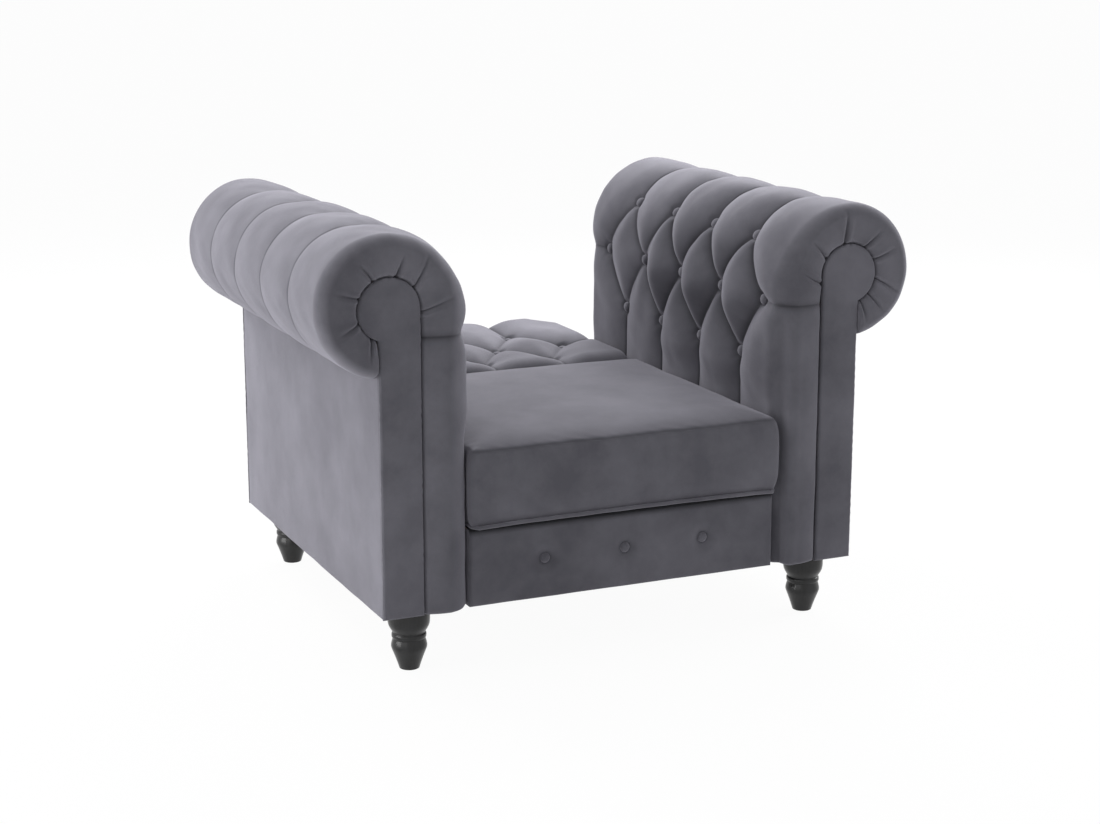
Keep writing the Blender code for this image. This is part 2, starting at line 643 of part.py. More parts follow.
def seat_box():
    """Side rails bolted to the arms, the rear board, the slats and the dust cover."""
    radius = BOLT_RADIUS + BORE_CLEARANCE
    height = BASE_Z + ARM_BOLT_RISE
    shank = RAIL_THICKNESS + 2 * GAP + ARM_BOLT_DEPTH
    bolt = [
        (0, -BOLT_HEAD_THICKNESS),
        (BOLT_HEAD_RADIUS, -BOLT_HEAD_THICKNESS),
        (BOLT_HEAD_RADIUS, -GAP),
        (BOLT_RADIUS, -GAP),
        (BOLT_RADIUS, shank),
        (0, shank),
    ]
    for side, sign in SIDES.items():
        low = (SIDE_RAIL_X, SIDE_RAIL_FRONT, BASE_Z)
        high = (BOX_X, SIDE_RAIL_REAR, SIDE_RAIL_TOP)
        rail = side_box(f"seat_side_rail_{side}", sign, low, high, "timber")
        for name, y in arm_bolt_places():
            mouth = (sign * (SIDE_RAIL_X - GAP), y, height)
            bore(rail, mouth, radius, RAIL_THICKNESS + 2 * GAP, sideways(sign))
            head = (sign * SIDE_RAIL_X, y, height)
            turned(f"arm_bolt_{name}_{side}", bolt, "steel", ROUND_STEPS, head, sideways(sign))
    rear = SIDE_RAIL_REAR + GAP
    low = (-BOX_X, rear, BASE_Z)
    high = (BOX_X, rear + RAIL_THICKNESS, SIDE_RAIL_TOP)
    box("seat_rear_board", low, high, "velvet")
    pitch = (CUSHION_REAR - SIDE_RAIL_FRONT) / SLAT_COUNT
    for k in range(SLAT_COUNT):
        middle = SIDE_RAIL_FRONT + pitch * (k + 0.5)
        low = (-BOX_X, middle - SLAT_WIDTH / 2, SIDE_RAIL_TOP + GAP)
        high = (BOX_X, middle + SLAT_WIDTH / 2, RAIL_TOP)
        box(f"seat_slat_{k + 1}", low, high, "timber")
    low = (-BOX_X, FRONT_BOARD_FRONT, BASE_Z - GAP - DUST_COVER_THICKNESS)
    high = (BOX_X, rear + RAIL_THICKNESS, BASE_Z - GAP)
    box("seat_dust_cover", low, high, "dust_cloth")


def cushion_outline(inset):
    """The cushion in plan: round corners, and sides that draw in between them."""
    half = Vector((CUSHION_X - inset, SEAT_DEPTH / 2 - inset))
    corner = max(CUSHION_CORNER - inset, CUSHION_CORNER / 2)
    points = []
    for quarter in range(4):
        turn = Matrix.Rotation(quarter * math.pi / 2, 2)
        along, out = (half.y, half.x) if quarter % 2 == 0 else (half.x, half.y)
        run = along - corner
        for share in (-1.0, -0.5, 0.0, 0.5, 1.0):
            points.append(turn @ Vector((out - CUSHION_WAIST * (1 - share**2), run * share)))
        for angle in (math.pi / 6, math.pi / 3):
            arc = corner * Vector((math.cos(angle), math.sin(angle)))
            points.append(turn @ (Vector((out - corner, run)) + arc))
    return points


def seat_cushion():
    """Crowned box cushion, with piping in the undercut round its bottom edge."""
    top = SEAT_HEIGHT - CUSHION_CROWN
    side = top - CUSHION_EDGE - CUSHION_BOTTOM
    levels = [
        (PIPING_SEAT, CUSHION_BOTTOM),
        (0.0, CUSHION_BOTTOM + PIPING_SEAT),
        (0.0, CUSHION_BOTTOM + side / 2),
        (CUSHION_EDGE * 0.15, CUSHION_BOTTOM + side),
        (CUSHION_EDGE * 0.4, top - CUSHION_EDGE * 0.35),
        (CUSHION_EDGE, top),
    ]
    rings = []
    for inset, z in levels:
        rings.append([(point.x, CUSHION_MIDDLE + point.y, z) for point in cushion_outline(inset)])
    rim = cushion_outline(CUSHION_EDGE)
    for scale, rise in ((0.9, 0.45), (0.75, 0.75), (0.5, 0.95), (0.2, 1.0)):
        z = top + CUSHION_CROWN * rise
        rings.append([(point.x * scale, CUSHION_MIDDLE + point.y * scale, z) for point in rim])
    shade_round(loft("seat_cushion", rings, "velvet"))
    curve = bpy.data.curves.new("seat_piping", "CURVE")
    curve.dimensions = "3D"
    curve.bevel_depth = PIPING_RADIUS
    curve.bevel_resolution = 1
    line = cushion_outline(PIPING_RADIUS)
    spline = curve.splines.new("POLY")
    spline.points.add(len(line) - 1)
    spline.use_cyclic_u = True
    for point, place in zip(spline.points, line):
        point.co = (place.x, CUSHION_MIDDLE + place.y, CUSHION_BOTTOM + PIPING_RADIUS, 1.0)
    piping = bpy.data.objects.new("seat_piping", curve)
    bpy.context.scene.collection.objects.link(piping)
    add_finish(piping, "velvet")


def back_path():
    """From under the front of the folded back, along its face and round its far end, as (y, z)."""
    crest = []
    floor = []
    steps = 24
    for step in range(steps + 1):
        angle = BACK_WRAP_ANGLE + (math.pi / 2 - BACK_WRAP_ANGLE) * step / steps
        ray = spoke(angle)
        padding = BACK_WRAP_EDGE + (BACK_FOAM - BACK_WRAP_EDGE) * step / steps
        crest.append(ray * BACK_ROUND)
        floor.append(ray * (BACK_ROUND - padding))
    flat = BACK_LENGTH - BACK_ROUND
    low = BACK_ROUND * math.sin(BACK_TUCK_ANGLE)
    for step in range(steps + 1):
        angle = math.pi / 2 + (BACK_TUCK_ANGLE - math.pi / 2) * step / steps
        crest.append(Vector((flat, 0)) + spoke(angle) * BACK_ROUND)
        floor.append(Vector((flat, BACK_INNER + (low - BACK_INNER) * step / steps)))
    return PadPath(crest, floor)


def back_pad(axis):
    path = back_path()
    length = path.lengths[-1]
    wrap = BACK_ROUND * (BACK_WRAP_ANGLE - math.pi / 2)
    flat_end = wrap + BACK_LENGTH - BACK_ROUND
    rows = [wrap + BACK_FIRST_ROW + BACK_ROW_SPACING * k for k in range(len(BACK_ROWS))]
    edges = (-BACK_X, BACK_X)
    ends = (0.0, length)
    tufting = Tufting(rows, BACK_ROWS, BACK_BUTTON_PITCH, edges, ends, PLEAT_DEPTH)
    stations = spread(
        0.0, (wrap, 4), (rows[0], 2), (rows[1], ROW_STEPS), (rows[2], ROW_STEPS), (flat_end, 3), (length, 7)
    )
    rings = []
    for along in stations:
        crest, inward, thickness = path.at(along)
        corner = min(max(1 - (flat_end - along) / BACK_CORNER, 0.0), 1.0)
        rounding = BACK_EDGE_ROUNDING + (BACK_CORNER - BACK_EDGE_ROUNDING) * corner
        ring = []
        for x in across_samples(*edges, BACK_BUTTON_PITCH, BACK_EDGE_ROUNDING):
            depth = max(edge_drop(x, *edges, rounding), tufting.depth(along, x))
            place = crest + inward * min(depth, thickness - COVER_THICKNESS)
            ring.append((x, place.x, place.y))
        floor = crest + inward * thickness
        ring += [(BACK_X, floor.x, floor.y), (-BACK_X, floor.x, floor.y)]
        rings.append(ring)
    shade_round(loft("back_pad", rings, "velvet", axis))


def back_frame(axis):
    """Stiles, rails and the rear panel that carry the back pad."""
    top = BACK_INNER - GAP
    panel_top = -BACK_ROUND + BACK_PANEL_THICKNESS
    low_z = panel_top + GAP
    stile_outer = STILE_X + BACK_STILE_WIDTH
    for side, sign in SIDES.items():
        low = (STILE_X, HINGE_OFFSET, low_z)
        high = (stile_outer, BACK_FRAME_END, top)
        side_box(f"back_stile_{side}", sign, low, high, "velvet", axis)
    half = HINGE_ARM_X - GAP
    low = (-half, HINGE_OFFSET, low_z)
    high = (half, HINGE_OFFSET + BACK_RAIL_WIDTH, top)
    box("back_bottom_rail", low, high, "timber", axis)
    half = STILE_X - GAP
    low = (-half, BACK_FRAME_END - BACK_RAIL_WIDTH, low_z)
    high = (half, BACK_FRAME_END, top)
    box("back_top_rail", low, high, "timber", axis)
    low = (-stile_outer, HINGE_OFFSET, -BACK_ROUND)
    high = (stile_outer, BACK_FRAME_END, panel_top)
    box("back_rear_panel", low, high, "velvet", axis)


def eye(start, end):
    """Round end of a hinge leaf about the axis, between two angles in degrees."""
    points = []
    for angle in spread(start, (end, 10)):
        turn = math.radians(angle)
        points.append((HINGE_EYE_RADIUS * math.cos(turn), HINGE_EYE_RADIUS * math.sin(turn)))
    return points


def hinges(axis):
    """On each side a plate fixed to the seat box, an arm fixed to the back, and a pin through both."""
    foot_top = HINGE_FOOT_TOP - AXIS_Z
    foot_front = HINGE_FOOT_OFFSET
    foot_rear = HINGE_FOOT_OFFSET + HINGE_FOOT_WIDTH
    foot_bottom = foot_top - HINGE_FOOT_HEIGHT
    plate_outline = [
        *eye(190, -10),
        (foot_rear, foot_top),
        (foot_rear, foot_bottom),
        (foot_front, foot_bottom),
    ]
    plate_outline = [(AXIS_Y + y, AXIS_Z + z) for y, z in plate_outline]
    arm_outline = [
        *eye(270, 90),
        (HINGE_ARM_LENGTH, HINGE_EYE_RADIUS),
        (HINGE_ARM_LENGTH, -HINGE_EYE_RADIUS),
    ]
    shank = 2 * HINGE_PLATE_THICKNESS + 2 * GAP
    pin = [
        (0, -PIN_HEAD_THICKNESS),
        (PIN_HEAD_RADIUS, -PIN_HEAD_THICKNESS),
        (PIN_HEAD_RADIUS, -GAP),
        (PIN_RADIUS, -GAP),
        (PIN_RADIUS, shank),
        (0, shank),
    ]
    radius = PIN_RADIUS + BORE_CLEARANCE
    for side, sign in SIDES.items():
        start = sign * HINGE_PLATE_X
        end = sign * (HINGE_PLATE_X + HINGE_PLATE_THICKNESS)
        plate = prism(f"hinge_plate_{side}", plate_outline, "X", start, end, "steel")
        mouth = (sign * (HINGE_PLATE_X - GAP), AXIS_Y, AXIS_Z)
        bore(plate, mouth, radius, HINGE_PLATE_THICKNESS + 2 * GAP, sideways(sign))
        start = sign * HINGE_ARM_X
        end = sign * (HINGE_ARM_X + HINGE_PLATE_THICKNESS)
        arm = prism(f"hinge_arm_{side}", arm_outline, "X", start, end, "steel", axis)
        mouth = (sign * (HINGE_ARM_X - GAP), 0, 0)
        bore(arm, mouth, radius, HINGE_PLATE_THICKNESS + 2 * GAP, sideways(sign))
        head = (sign * HINGE_ARM_X, AXIS_Y, AXIS_Z)
        turned(f"hinge_pin_{side}", pin, "steel", ROUND_STEPS, head, sideways(sign))


def build():
    for obj in list(bpy.data.objects):
        bpy.data.objects.remove(obj)
    for side, sign in SIDES.items():
        arm_pad(side, sign)
        arm_facings(side, sign)
        arm_frame(side, sign)
        arm_outer_panel(side, sign)
        arm_base_rail(side, sign)
    feet()
    front_rail()
    seat_box()
    seat_cushion()
    axis = bpy.data.objects.new("back_fold_axis", None)
    axis.location = (0, AXIS_Y, AXIS_Z)
    bpy.context.scene.collection.objects.link(axis)
    back_pad(axis)
    back_frame(axis)
    hinges(axis)


build()
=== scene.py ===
# %% [markdown]
# # A tufted lounge chair whose back folds down flat
# The imported CAD model is the fixed frame of this lesson. It holds the real sizes, the two bodies
# and the hinge between them. Every visible piece is made around it, in metres, in the same place,
# so nothing has to be fitted by eye. The dressed chair may only stand a little proud of it.

# %% The frame
import json
import math

import bmesh
import bpy
import numpy as np
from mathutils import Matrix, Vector


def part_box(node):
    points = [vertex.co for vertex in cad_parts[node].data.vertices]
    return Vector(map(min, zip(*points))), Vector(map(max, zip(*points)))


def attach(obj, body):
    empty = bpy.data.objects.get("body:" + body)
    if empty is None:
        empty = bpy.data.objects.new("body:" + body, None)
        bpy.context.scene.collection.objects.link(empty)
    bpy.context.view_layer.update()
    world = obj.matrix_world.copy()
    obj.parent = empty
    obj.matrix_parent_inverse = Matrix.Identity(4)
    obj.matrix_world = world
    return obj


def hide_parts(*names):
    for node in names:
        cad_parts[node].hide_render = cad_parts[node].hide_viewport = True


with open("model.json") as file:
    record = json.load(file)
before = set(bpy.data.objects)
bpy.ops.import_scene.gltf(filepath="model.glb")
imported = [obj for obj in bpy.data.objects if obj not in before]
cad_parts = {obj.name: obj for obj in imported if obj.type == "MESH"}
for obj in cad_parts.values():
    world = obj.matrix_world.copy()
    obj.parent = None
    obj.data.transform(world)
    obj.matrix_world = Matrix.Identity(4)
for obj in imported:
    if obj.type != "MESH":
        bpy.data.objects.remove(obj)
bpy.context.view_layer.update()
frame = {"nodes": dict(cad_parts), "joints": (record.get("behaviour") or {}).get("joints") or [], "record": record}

nodes = frame["nodes"]

# %% [markdown]
# ## Sizes
# Where a size can be read from a CAD node, it is read, so the covers follow the frame. The curves of
# the arms have no box of their own: the scroll of the arm is a straight inner side, a quarter ellipse
# up to the top, and a round roll that comes back to the outer panel. These few values are the same as
# in the CAD model.

# %% Sizes of the chair
low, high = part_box("right_arm_base_rail")
FACE_X, FRONT, BASE_Z = low
ARM_REAR = high.y
OUTER_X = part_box("right_arm_outer_panel")[1].x
AXIS = Vector(frame["joints"][0]["pos_m"])
SEAT_LOW, SEAT_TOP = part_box("seat_cushion")
FACING_X = 0.405  # seam between the padded band and the facing
ARM_HEIGHT = 0.810
HEAD = np.array([0.462, 0.677])  # centre of the facing's round head, as (x, z)
HEAD_RADIUS = 0.057
ROLL = np.array([0.467, 0.682])
ROLL_RADIUS = 0.128
ROLL_START = 0.637  # height where the inside of the arm starts to curve
ROLL_SEAM = 0.0015
ARM_FOAM = 0.040
LIP = 0.014  # padding in front of the wooden frame of an arm
SIDES = {"left": -1, "right": 1}
print("seat between arms", round(2 * FACE_X, 3), "m, arms", round(ARM_REAR - FRONT, 3), "m deep")

# %% [markdown]
# ## Pieces from rows of points
# Upholstery is mostly one kind of form: a section that changes slowly along a line. A loft of rings
# gives that with full control of each pleat, and closed rings with a cap at each end make a closed
# body. The helpers below also make a piece ride on a CAD body, put its finish on it, and hide the CAD
# nodes that it stands for.

# %% Helpers that make pieces
WELD = 1e-6  # points nearer than this are one point


def closed_mesh(name, points, faces, weld=False):
    """A mesh with its faces turned outwards and, if asked, the points along its seams joined."""
    mesh = bpy.data.meshes.new(name)
    mesh.from_pydata(np.asarray(points).reshape(-1, 3).tolist(), [], faces)
    bm = bmesh.new()
    bm.from_mesh(mesh)
    if weld:
        bmesh.ops.remove_doubles(bm, verts=bm.verts, dist=WELD)
    bmesh.ops.recalc_face_normals(bm, faces=bm.faces)
    bm.to_mesh(mesh)
    bm.free()
    return mesh


def piece(name, points, faces, body="base", slot="velvet", replaced=(), fold=None, weld=False):
    mesh = closed_mesh(name, points, faces, weld)
    mesh.shade_smooth()
    # painted shade: values kept on the mesh that darken the velvet's colour where shade falls
    if fold is not None:
        shade = mesh.attributes.new("fold", "FLOAT", "POINT")
        shade.data.foreach_set("value", np.asarray(fold, np.float32).ravel())
    mesh.materials.append(FINISHES[slot])
    obj = bpy.data.objects.new(name, mesh)
    bpy.context.scene.collection.objects.link(obj)
    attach(obj, body)
    if replaced:
        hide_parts(*replaced)
    return obj


def ring_wall(rings, count, joined=False):
    """Faces between rings of points. If joined, the last ring goes on into the first one."""
    here = np.arange(count)
    after = np.roll(here, -1)
    faces = []
    for ring in range(rings if joined else rings - 1):
        first = ring * count
        second = (ring + 1) % rings * count
        faces += np.stack([first + here, first + after, second + after, second + here], 1).tolist()
    return faces


def loft_faces(rings, count):
    """Faces of closed rings of points, with a cap on the first and the last ring."""
    last = (rings - 1) * count
    return ring_wall(rings, count) + [list(range(count)), list(range(last, last + count))]


def lofted(name, points, **more):
    """A closed piece from rows of points that each go once round it."""
    return piece(name, points, loft_faces(*points.shape[:2]), **more)


def grid_faces(rows, columns, start=0):
    corner = start + np.arange(rows * columns).reshape(rows, columns)
    quads = [corner[:-1, :-1], corner[1:, :-1], corner[1:, 1:], corner[:-1, 1:]]
    return np.stack(quads, -1).reshape(-1, 4).tolist()


# %% Helpers for curves and unevenness
def points_at(*coordinates):
    """Points from their coordinates, each of which is a number or an array."""
    return np.stack(np.broadcast_arrays(*coordinates), -1)


def length_along(line):
    return np.concatenate([[0], np.cumsum(np.linalg.norm(np.diff(line, axis=0), axis=1))])


def smooth_step(value, start, end):
    share = np.clip((value - start) / (end - start), 0, 1)
    return share * share * (3 - 2 * share)


def hump(away, width):
    """A smooth hump, 1 in its middle and nearly gone at twice its width."""
    return np.exp(-((away / width) ** 2))


def rounded_over(inside, radius):
    """How far a rounded edge falls back, at a distance inside its outline."""
    short = radius - np.clip(inside, 0, radius)
    return radius - np.sqrt(radius**2 - short**2)


def wobble(points, size, length, seed=0.0):
    """A smooth, repeatable unevenness, such as stuffing has, from a few crossed waves."""
    x, y, z = np.moveaxis(np.asarray(points) * (2 * math.pi / length), -1, 0)
    waves = np.sin(x * 0.9 + y * 0.5 + z * 0.3 + seed)
    waves = waves + np.sin(y * 1.1 - z * 0.7 + x * 0.2 + 2.1 * seed + 1.3)
    waves = waves + np.sin(z * 1.0 + x * 0.8 - y * 0.6 + 3.7 * seed + 4.1)
    waves = waves + 0.6 * np.sin(x * 2.1 - y * 1.7 + z * 1.9 + 5.3 * seed + 0.7)
    return waves * (size / 3.6)


# %% [markdown]
# ## Finishes
# Velvet is a short pile that stands up from its cloth. Seen straight on it is dark, because one looks
# down between the fibres, and at a glancing angle their sides catch the light. That is what the sheen
# of the shader does, so the base colour stays dark. The sheen is a plain value on the shader, because
# an export can carry that. The pile also lies a little differently from place to place, which shows as
# soft cloudy patches in the colour. In creases, pits, seams and hollows the colour is darkened as
# painted shade, from values of painted shade that each padded piece carries.


# %% A small kit for node trees
class Kit:
    """Short ways to add and join the nodes of one tree."""

    def __init__(self, tree):
        self.tree = tree

    def feed(self, socket, value):
        """Links an output to a socket, or writes a plain value into it."""
        if isinstance(value, bpy.types.NodeSocket):
            self.tree.links.new(value, socket)
        else:
            socket.default_value = value

    def add(self, kind, values=None, **options):
        node = self.tree.nodes.new(kind)
        for key, value in options.items():
            setattr(node, key, value)
        for key, value in (values or {}).items():
            self.feed(node.inputs[key], value)
        return node

    def math(self, operation, first, second):
        return self.add("ShaderNodeMath", {0: first, 1: second}, operation=operation).outputs[0]


class Finish(Kit):
    """A node material with the textures, mixes and bumps that the finishes here need."""

    def __init__(self, name):
        self.material = bpy.data.materials.new(name)
        self.material.use_nodes = True
        super().__init__(self.material.node_tree)
        self.surface = self.tree.nodes["Principled BSDF"]
        self.place = self.add("ShaderNodeTexCoord").outputs["Object"]

    def set(self, **values):
        for key, value in values.items():
            self.feed(self.surface.inputs[key.replace("_", " ")], value)
        return self.material

    def stretched(self, scale):
        return self.add("ShaderNodeMapping", {"Vector": self.place, "Scale": scale}).outputs[0]

    def noise(self, scale, detail=3.0, roughness=0.55, place=None):
        values = {"Vector": place or self.place, "Scale": scale, "Detail": detail, "Roughness": roughness}
        return self.add("ShaderNodeTexNoise", values).outputs["Fac"]

    def cells(self, scale, output):
        values = {"Vector": self.place, "Scale": scale}
        return self.add("ShaderNodeTexVoronoi", values).outputs[output]

    def ramp(self, factor, *stops):
        node = self.add("ShaderNodeValToRGB", {"Fac": factor})
        while len(node.color_ramp.elements) < len(stops):
            node.color_ramp.elements.new(0.5)
        for element, (position, colour) in zip(node.color_ramp.elements, stops):
            element.position = position
            element.color = (*colour, 1.0)
        return node.outputs["Color"]

    def mix(self, factor, first, second, blend="MIX"):
        values = {0: factor, 6: first, 7: second}
        return self.add("ShaderNodeMix", values, data_type="RGBA", blend_type=blend).outputs[2]

    def between(self, factor, least, spread):
        """A value that rises from its least by its spread as the factor goes from 0 to 1."""
        return self.math("ADD", self.math("MULTIPLY", factor, spread), least)

    def bump(self, height, distance, strength=1.0, normal=None):
        values = {"Height": height, "Distance": distance, "Strength": strength}
        if normal is not None:
            values["Normal"] = normal
        return self.add("ShaderNodeBump", values).outputs["Normal"]


def grey(value):
    return (value,) * 3


# %% Velvet
VELVET = (0.070, 0.0685, 0.079)
VELVET_LIGHT = (0.097, 0.0945, 0.109)
VELVET_DARK = (0.046, 0.0445, 0.053)
# painted shade: the near black that the velvet's colour is mixed towards in creases, pits and seams
VELVET_PAINTED_SHADE = (0.003, 0.003, 0.004, 1.0)
PAINTED_SHADE_SHARE = 0.95
CLOUD_SHARE = 0.88  # the rest of the patches are finer brush marks


def velvet(name):
    finish = Finish(name)
    cloud = finish.noise(6.5, 5.0, 0.62)
    brushed = finish.noise(22.0, 3.0, 0.5, finish.stretched((1.0, 1.0, 0.45)))
    marks = finish.math("MULTIPLY", brushed, 1 - CLOUD_SHARE)
    patches = finish.math("ADD", finish.math("MULTIPLY", cloud, CLOUD_SHARE), marks)
    colour = finish.ramp(patches, (0.36, VELVET_DARK), (0.50, VELVET), (0.66, VELVET_LIGHT))
    pile = finish.noise(1400.0, 2.0, 0.7)
    fibres = finish.ramp(pile, (0.3, grey(0.30)), (0.7, grey(0.72)))
    colour = finish.mix(0.35, colour, fibres, "OVERLAY")
    # painted shade: each piece's values darken the colour in creases, pits, hollows and along seams
    fold = finish.add("ShaderNodeAttribute", attribute_name="fold").outputs["Fac"]
    colour = finish.mix(finish.math("MULTIPLY", fold, PAINTED_SHADE_SHARE), colour, VELVET_PAINTED_SHADE)
    nap = finish.bump(finish.noise(7.0, 1.0, 0.5), 0.006, 0.35)
    weave = finish.bump(finish.noise(420.0, 2.0, 0.6), 0.0006, 0.35, nap)
    return finish.set(
        Base_Color=colour,
        Roughness=0.92,
        Sheen_Weight=0.40,
        Sheen_Roughness=0.72,
        Sheen_Tint=(0.80, 0.78, 0.88, 1.0),
        Specular_IOR_Level=0.15,
        Normal=finish.bump(pile, 0.0004, 0.5, weave),
    )


FINISHES = {"velvet": velvet("grey_velvet")}
print("velvet: an even sheen over a dark pile")

# %% [markdown]
# The turned feet are lacquered black: the grain still lifts the lacquer a little, and it is rubbed
# thinner on the beads. The hidden frame is sawn softwood, with growth rings drawn out along the grain.
# The hinge and bolts are zinc plated, and the underside is closed by a black non-woven cloth. They are
# rarely seen, but someone who tips the chair over sees them all.


# %% Wood
def lacquered_wood():
    finish = Finish("black_lacquer")
    grain = finish.noise(60.0, 5.0, 0.6, finish.stretched((1.0, 1.0, 0.12)))
    colour = finish.ramp(grain, (0.35, grey(0.010)), (0.65, (0.020, 0.020, 0.021)))
    edge = finish.add("ShaderNodeNewGeometry").outputs["Pointiness"]
    rubbed = finish.ramp(edge, (0.53, grey(0.0)), (0.60, grey(0.5)))
    return finish.set(
        Base_Color=finish.mix(rubbed, colour, (0.055, 0.052, 0.050, 1.0)),
        Roughness=finish.between(finish.noise(35.0, 4.0, 0.6), 0.20, 0.25),
        Coat_Weight=0.22,
        Coat_Roughness=0.16,
        Specular_IOR_Level=0.22,
        Normal=finish.bump(grain, 0.0004, 0.35),
    )


def sawn_timber():
    finish = Finish("sawn_timber")
    values = {"Vector": finish.stretched((9.0, 1.1, 9.0)), "Scale": 2.2, "Distortion": 5.0}
    values |= {"Detail": 3.0, "Detail Scale": 1.4}
    bands = {"wave_type": "BANDS", "bands_direction": "X"}
    rings = finish.add("ShaderNodeTexWave", values, **bands).outputs["Fac"]
    fibre = finish.noise(70.0, 4.0, 0.6, finish.stretched((1.0, 0.06, 1.0)))
    colour = finish.ramp(rings, (0.15, (0.50, 0.34, 0.19)), (0.75, (0.66, 0.49, 0.31)))
    streaks = finish.ramp(fibre, (0.3, (0.42, 0.28, 0.15)), (0.7, (0.72, 0.56, 0.38)))
    return finish.set(
        Base_Color=finish.mix(0.35, colour, streaks),
        Roughness=finish.between(fibre, 0.55, 0.25),
        Normal=finish.bump(fibre, 0.0006, 0.5),
    )


# %% Steel and dust cloth
def zinc_plate():
    finish = Finish("zinc_plate")
    scuffs = finish.noise(40.0, 5.0, 0.65)
    colour = finish.mix(0.12, (0.58, 0.58, 0.57, 1.0), finish.cells(160.0, "Color"))
    worn = finish.ramp(scuffs, (0.55, grey(0.0)), (0.8, grey(0.4)))
    return finish.set(
        Base_Color=finish.mix(worn, colour, (0.3, 0.29, 0.27, 1.0)),
        Metallic=1.0,
        Roughness=finish.between(scuffs, 0.22, 0.3),
        Normal=finish.bump(scuffs, 0.0003, 0.3),
    )


def non_woven():
    finish = Finish("black_non_woven")
    hair = finish.noise(300.0, 4.0, 0.7)
    return finish.set(
        Base_Color=finish.ramp(hair, (0.3, (0.012, 0.012, 0.014)), (0.7, (0.032, 0.032, 0.037))),
        Roughness=0.95,
        Normal=finish.bump(finish.math("ADD", finish.cells(420.0, "Distance"), hair), 0.0006, 0.7),
    )


FINISHES["black_wood"] = lacquered_wood()
FINISHES["timber"] = sawn_timber()
FINISHES["steel"] = zinc_plate()
FINISHES["dust_cloth"] = non_woven()
for part in frame["record"]["subparts"]:
    slots = nodes[part["node"]].data.materials
    slots.clear()
    slots.append(FINISHES[part["material_slot"]])
print("finishes on", len(nodes), "CAD nodes")

# %% [markdown]
# ## The line of an arm
# The cover of an arm runs up its inside, over the roll and down to the outer panel. For each length
# along that line there is a point on the crest of the padding and a point under it, on the seam of the
# facing, where the padding ends. Everything on the arm is placed by that length and by the depth below
# the crest, so the same pleat works on the flat inside and on the round roll.


# %% Crest and seam of the right arm
def polar(angle, centre, radius):
    return points_at(centre[0] + radius * np.cos(angle), centre[1] + radius * np.sin(angle))


def arm_lines():
    share = np.linspace(0, 1, 181)[1:]
    column = HEAD[1] - ROLL_START
    quarter = HEAD_RADIUS * math.pi / 2
    rise = polar(math.pi - math.pi / 2 * share, (0, 0), 1.0)
    inner = np.array([ROLL[0], ROLL_START]) + rise * [ROLL[0] - FACE_X, ARM_HEIGHT - ROLL_START]
    climb = (column + quarter) * share
    straight = points_at(FACING_X, ROLL_START + climb)
    bent = polar(math.pi - (climb - column) / HEAD_RADIUS, HEAD, HEAD_RADIUS)
    seam = np.where((climb < column)[:, None], straight, bent)
    roll_turn = math.pi / 2 + math.acos((OUTER_X + ROLL_SEAM - ROLL[0]) / ROLL_RADIUS)
    head_turn = math.pi / 2 + math.acos((OUTER_X - HEAD[0]) / HEAD_RADIUS)
    over_roll = polar(math.pi / 2 - roll_turn * share, ROLL, ROLL_RADIUS)
    over_head = polar(math.pi / 2 - head_turn * share, HEAD, HEAD_RADIUS)
    crest = np.concatenate([[[FACE_X, BASE_Z], [FACE_X, ROLL_START]], inner, over_roll])
    seam = np.concatenate([[[FACING_X, BASE_Z], [FACING_X, ROLL_START]], seam, over_head])
    return length_along(crest), crest, seam


def on_pad(along, lines):
    """Crest point, direction into the padding, and thickness of the padding, for lengths along it."""
    length, crest, floor = lines
    crest = points_at(*[np.interp(along, length, crest[:, k]) for k in (0, 1)])
    floor = points_at(*[np.interp(along, length, floor[:, k]) for k in (0, 1)])
    thick = np.linalg.norm(floor - crest, axis=-1)
    return crest, (floor - crest) / thick[..., None], thick


ARM_LINES = arm_lines()
ARM_LENGTH = ARM_LINES[0][-1]
print("arm cover", round(ARM_LENGTH, 3), "m from the base to the outer panel")

# %% [markdown]
# ## Deep buttoning
# Each button is pulled down through the padding with twine, and the spare cloth between two buttons is
# folded into a pleat. So the cover is highest in the middle of each diamond and falls away in a round
# curve to the pleats. The distance to the pleats decides the depth. Taking a soft minimum of all the
# distances instead of the least one keeps the diamonds round, with no ridge where two slopes meet.

# %% Buttons and pleats
CREASE_DEPTH = 0.0010
CREASE_MARGIN = 0.0003
PLEAT_REACH = 0.066  # how far from a pleat the cover falls towards it
PLEAT_BLEND = 0.0075  # distance over which neighbouring pleats melt together
ROUND_SHARE = 0.25  # part of the fall that is a round shoulder
DIMPLE = 0.004


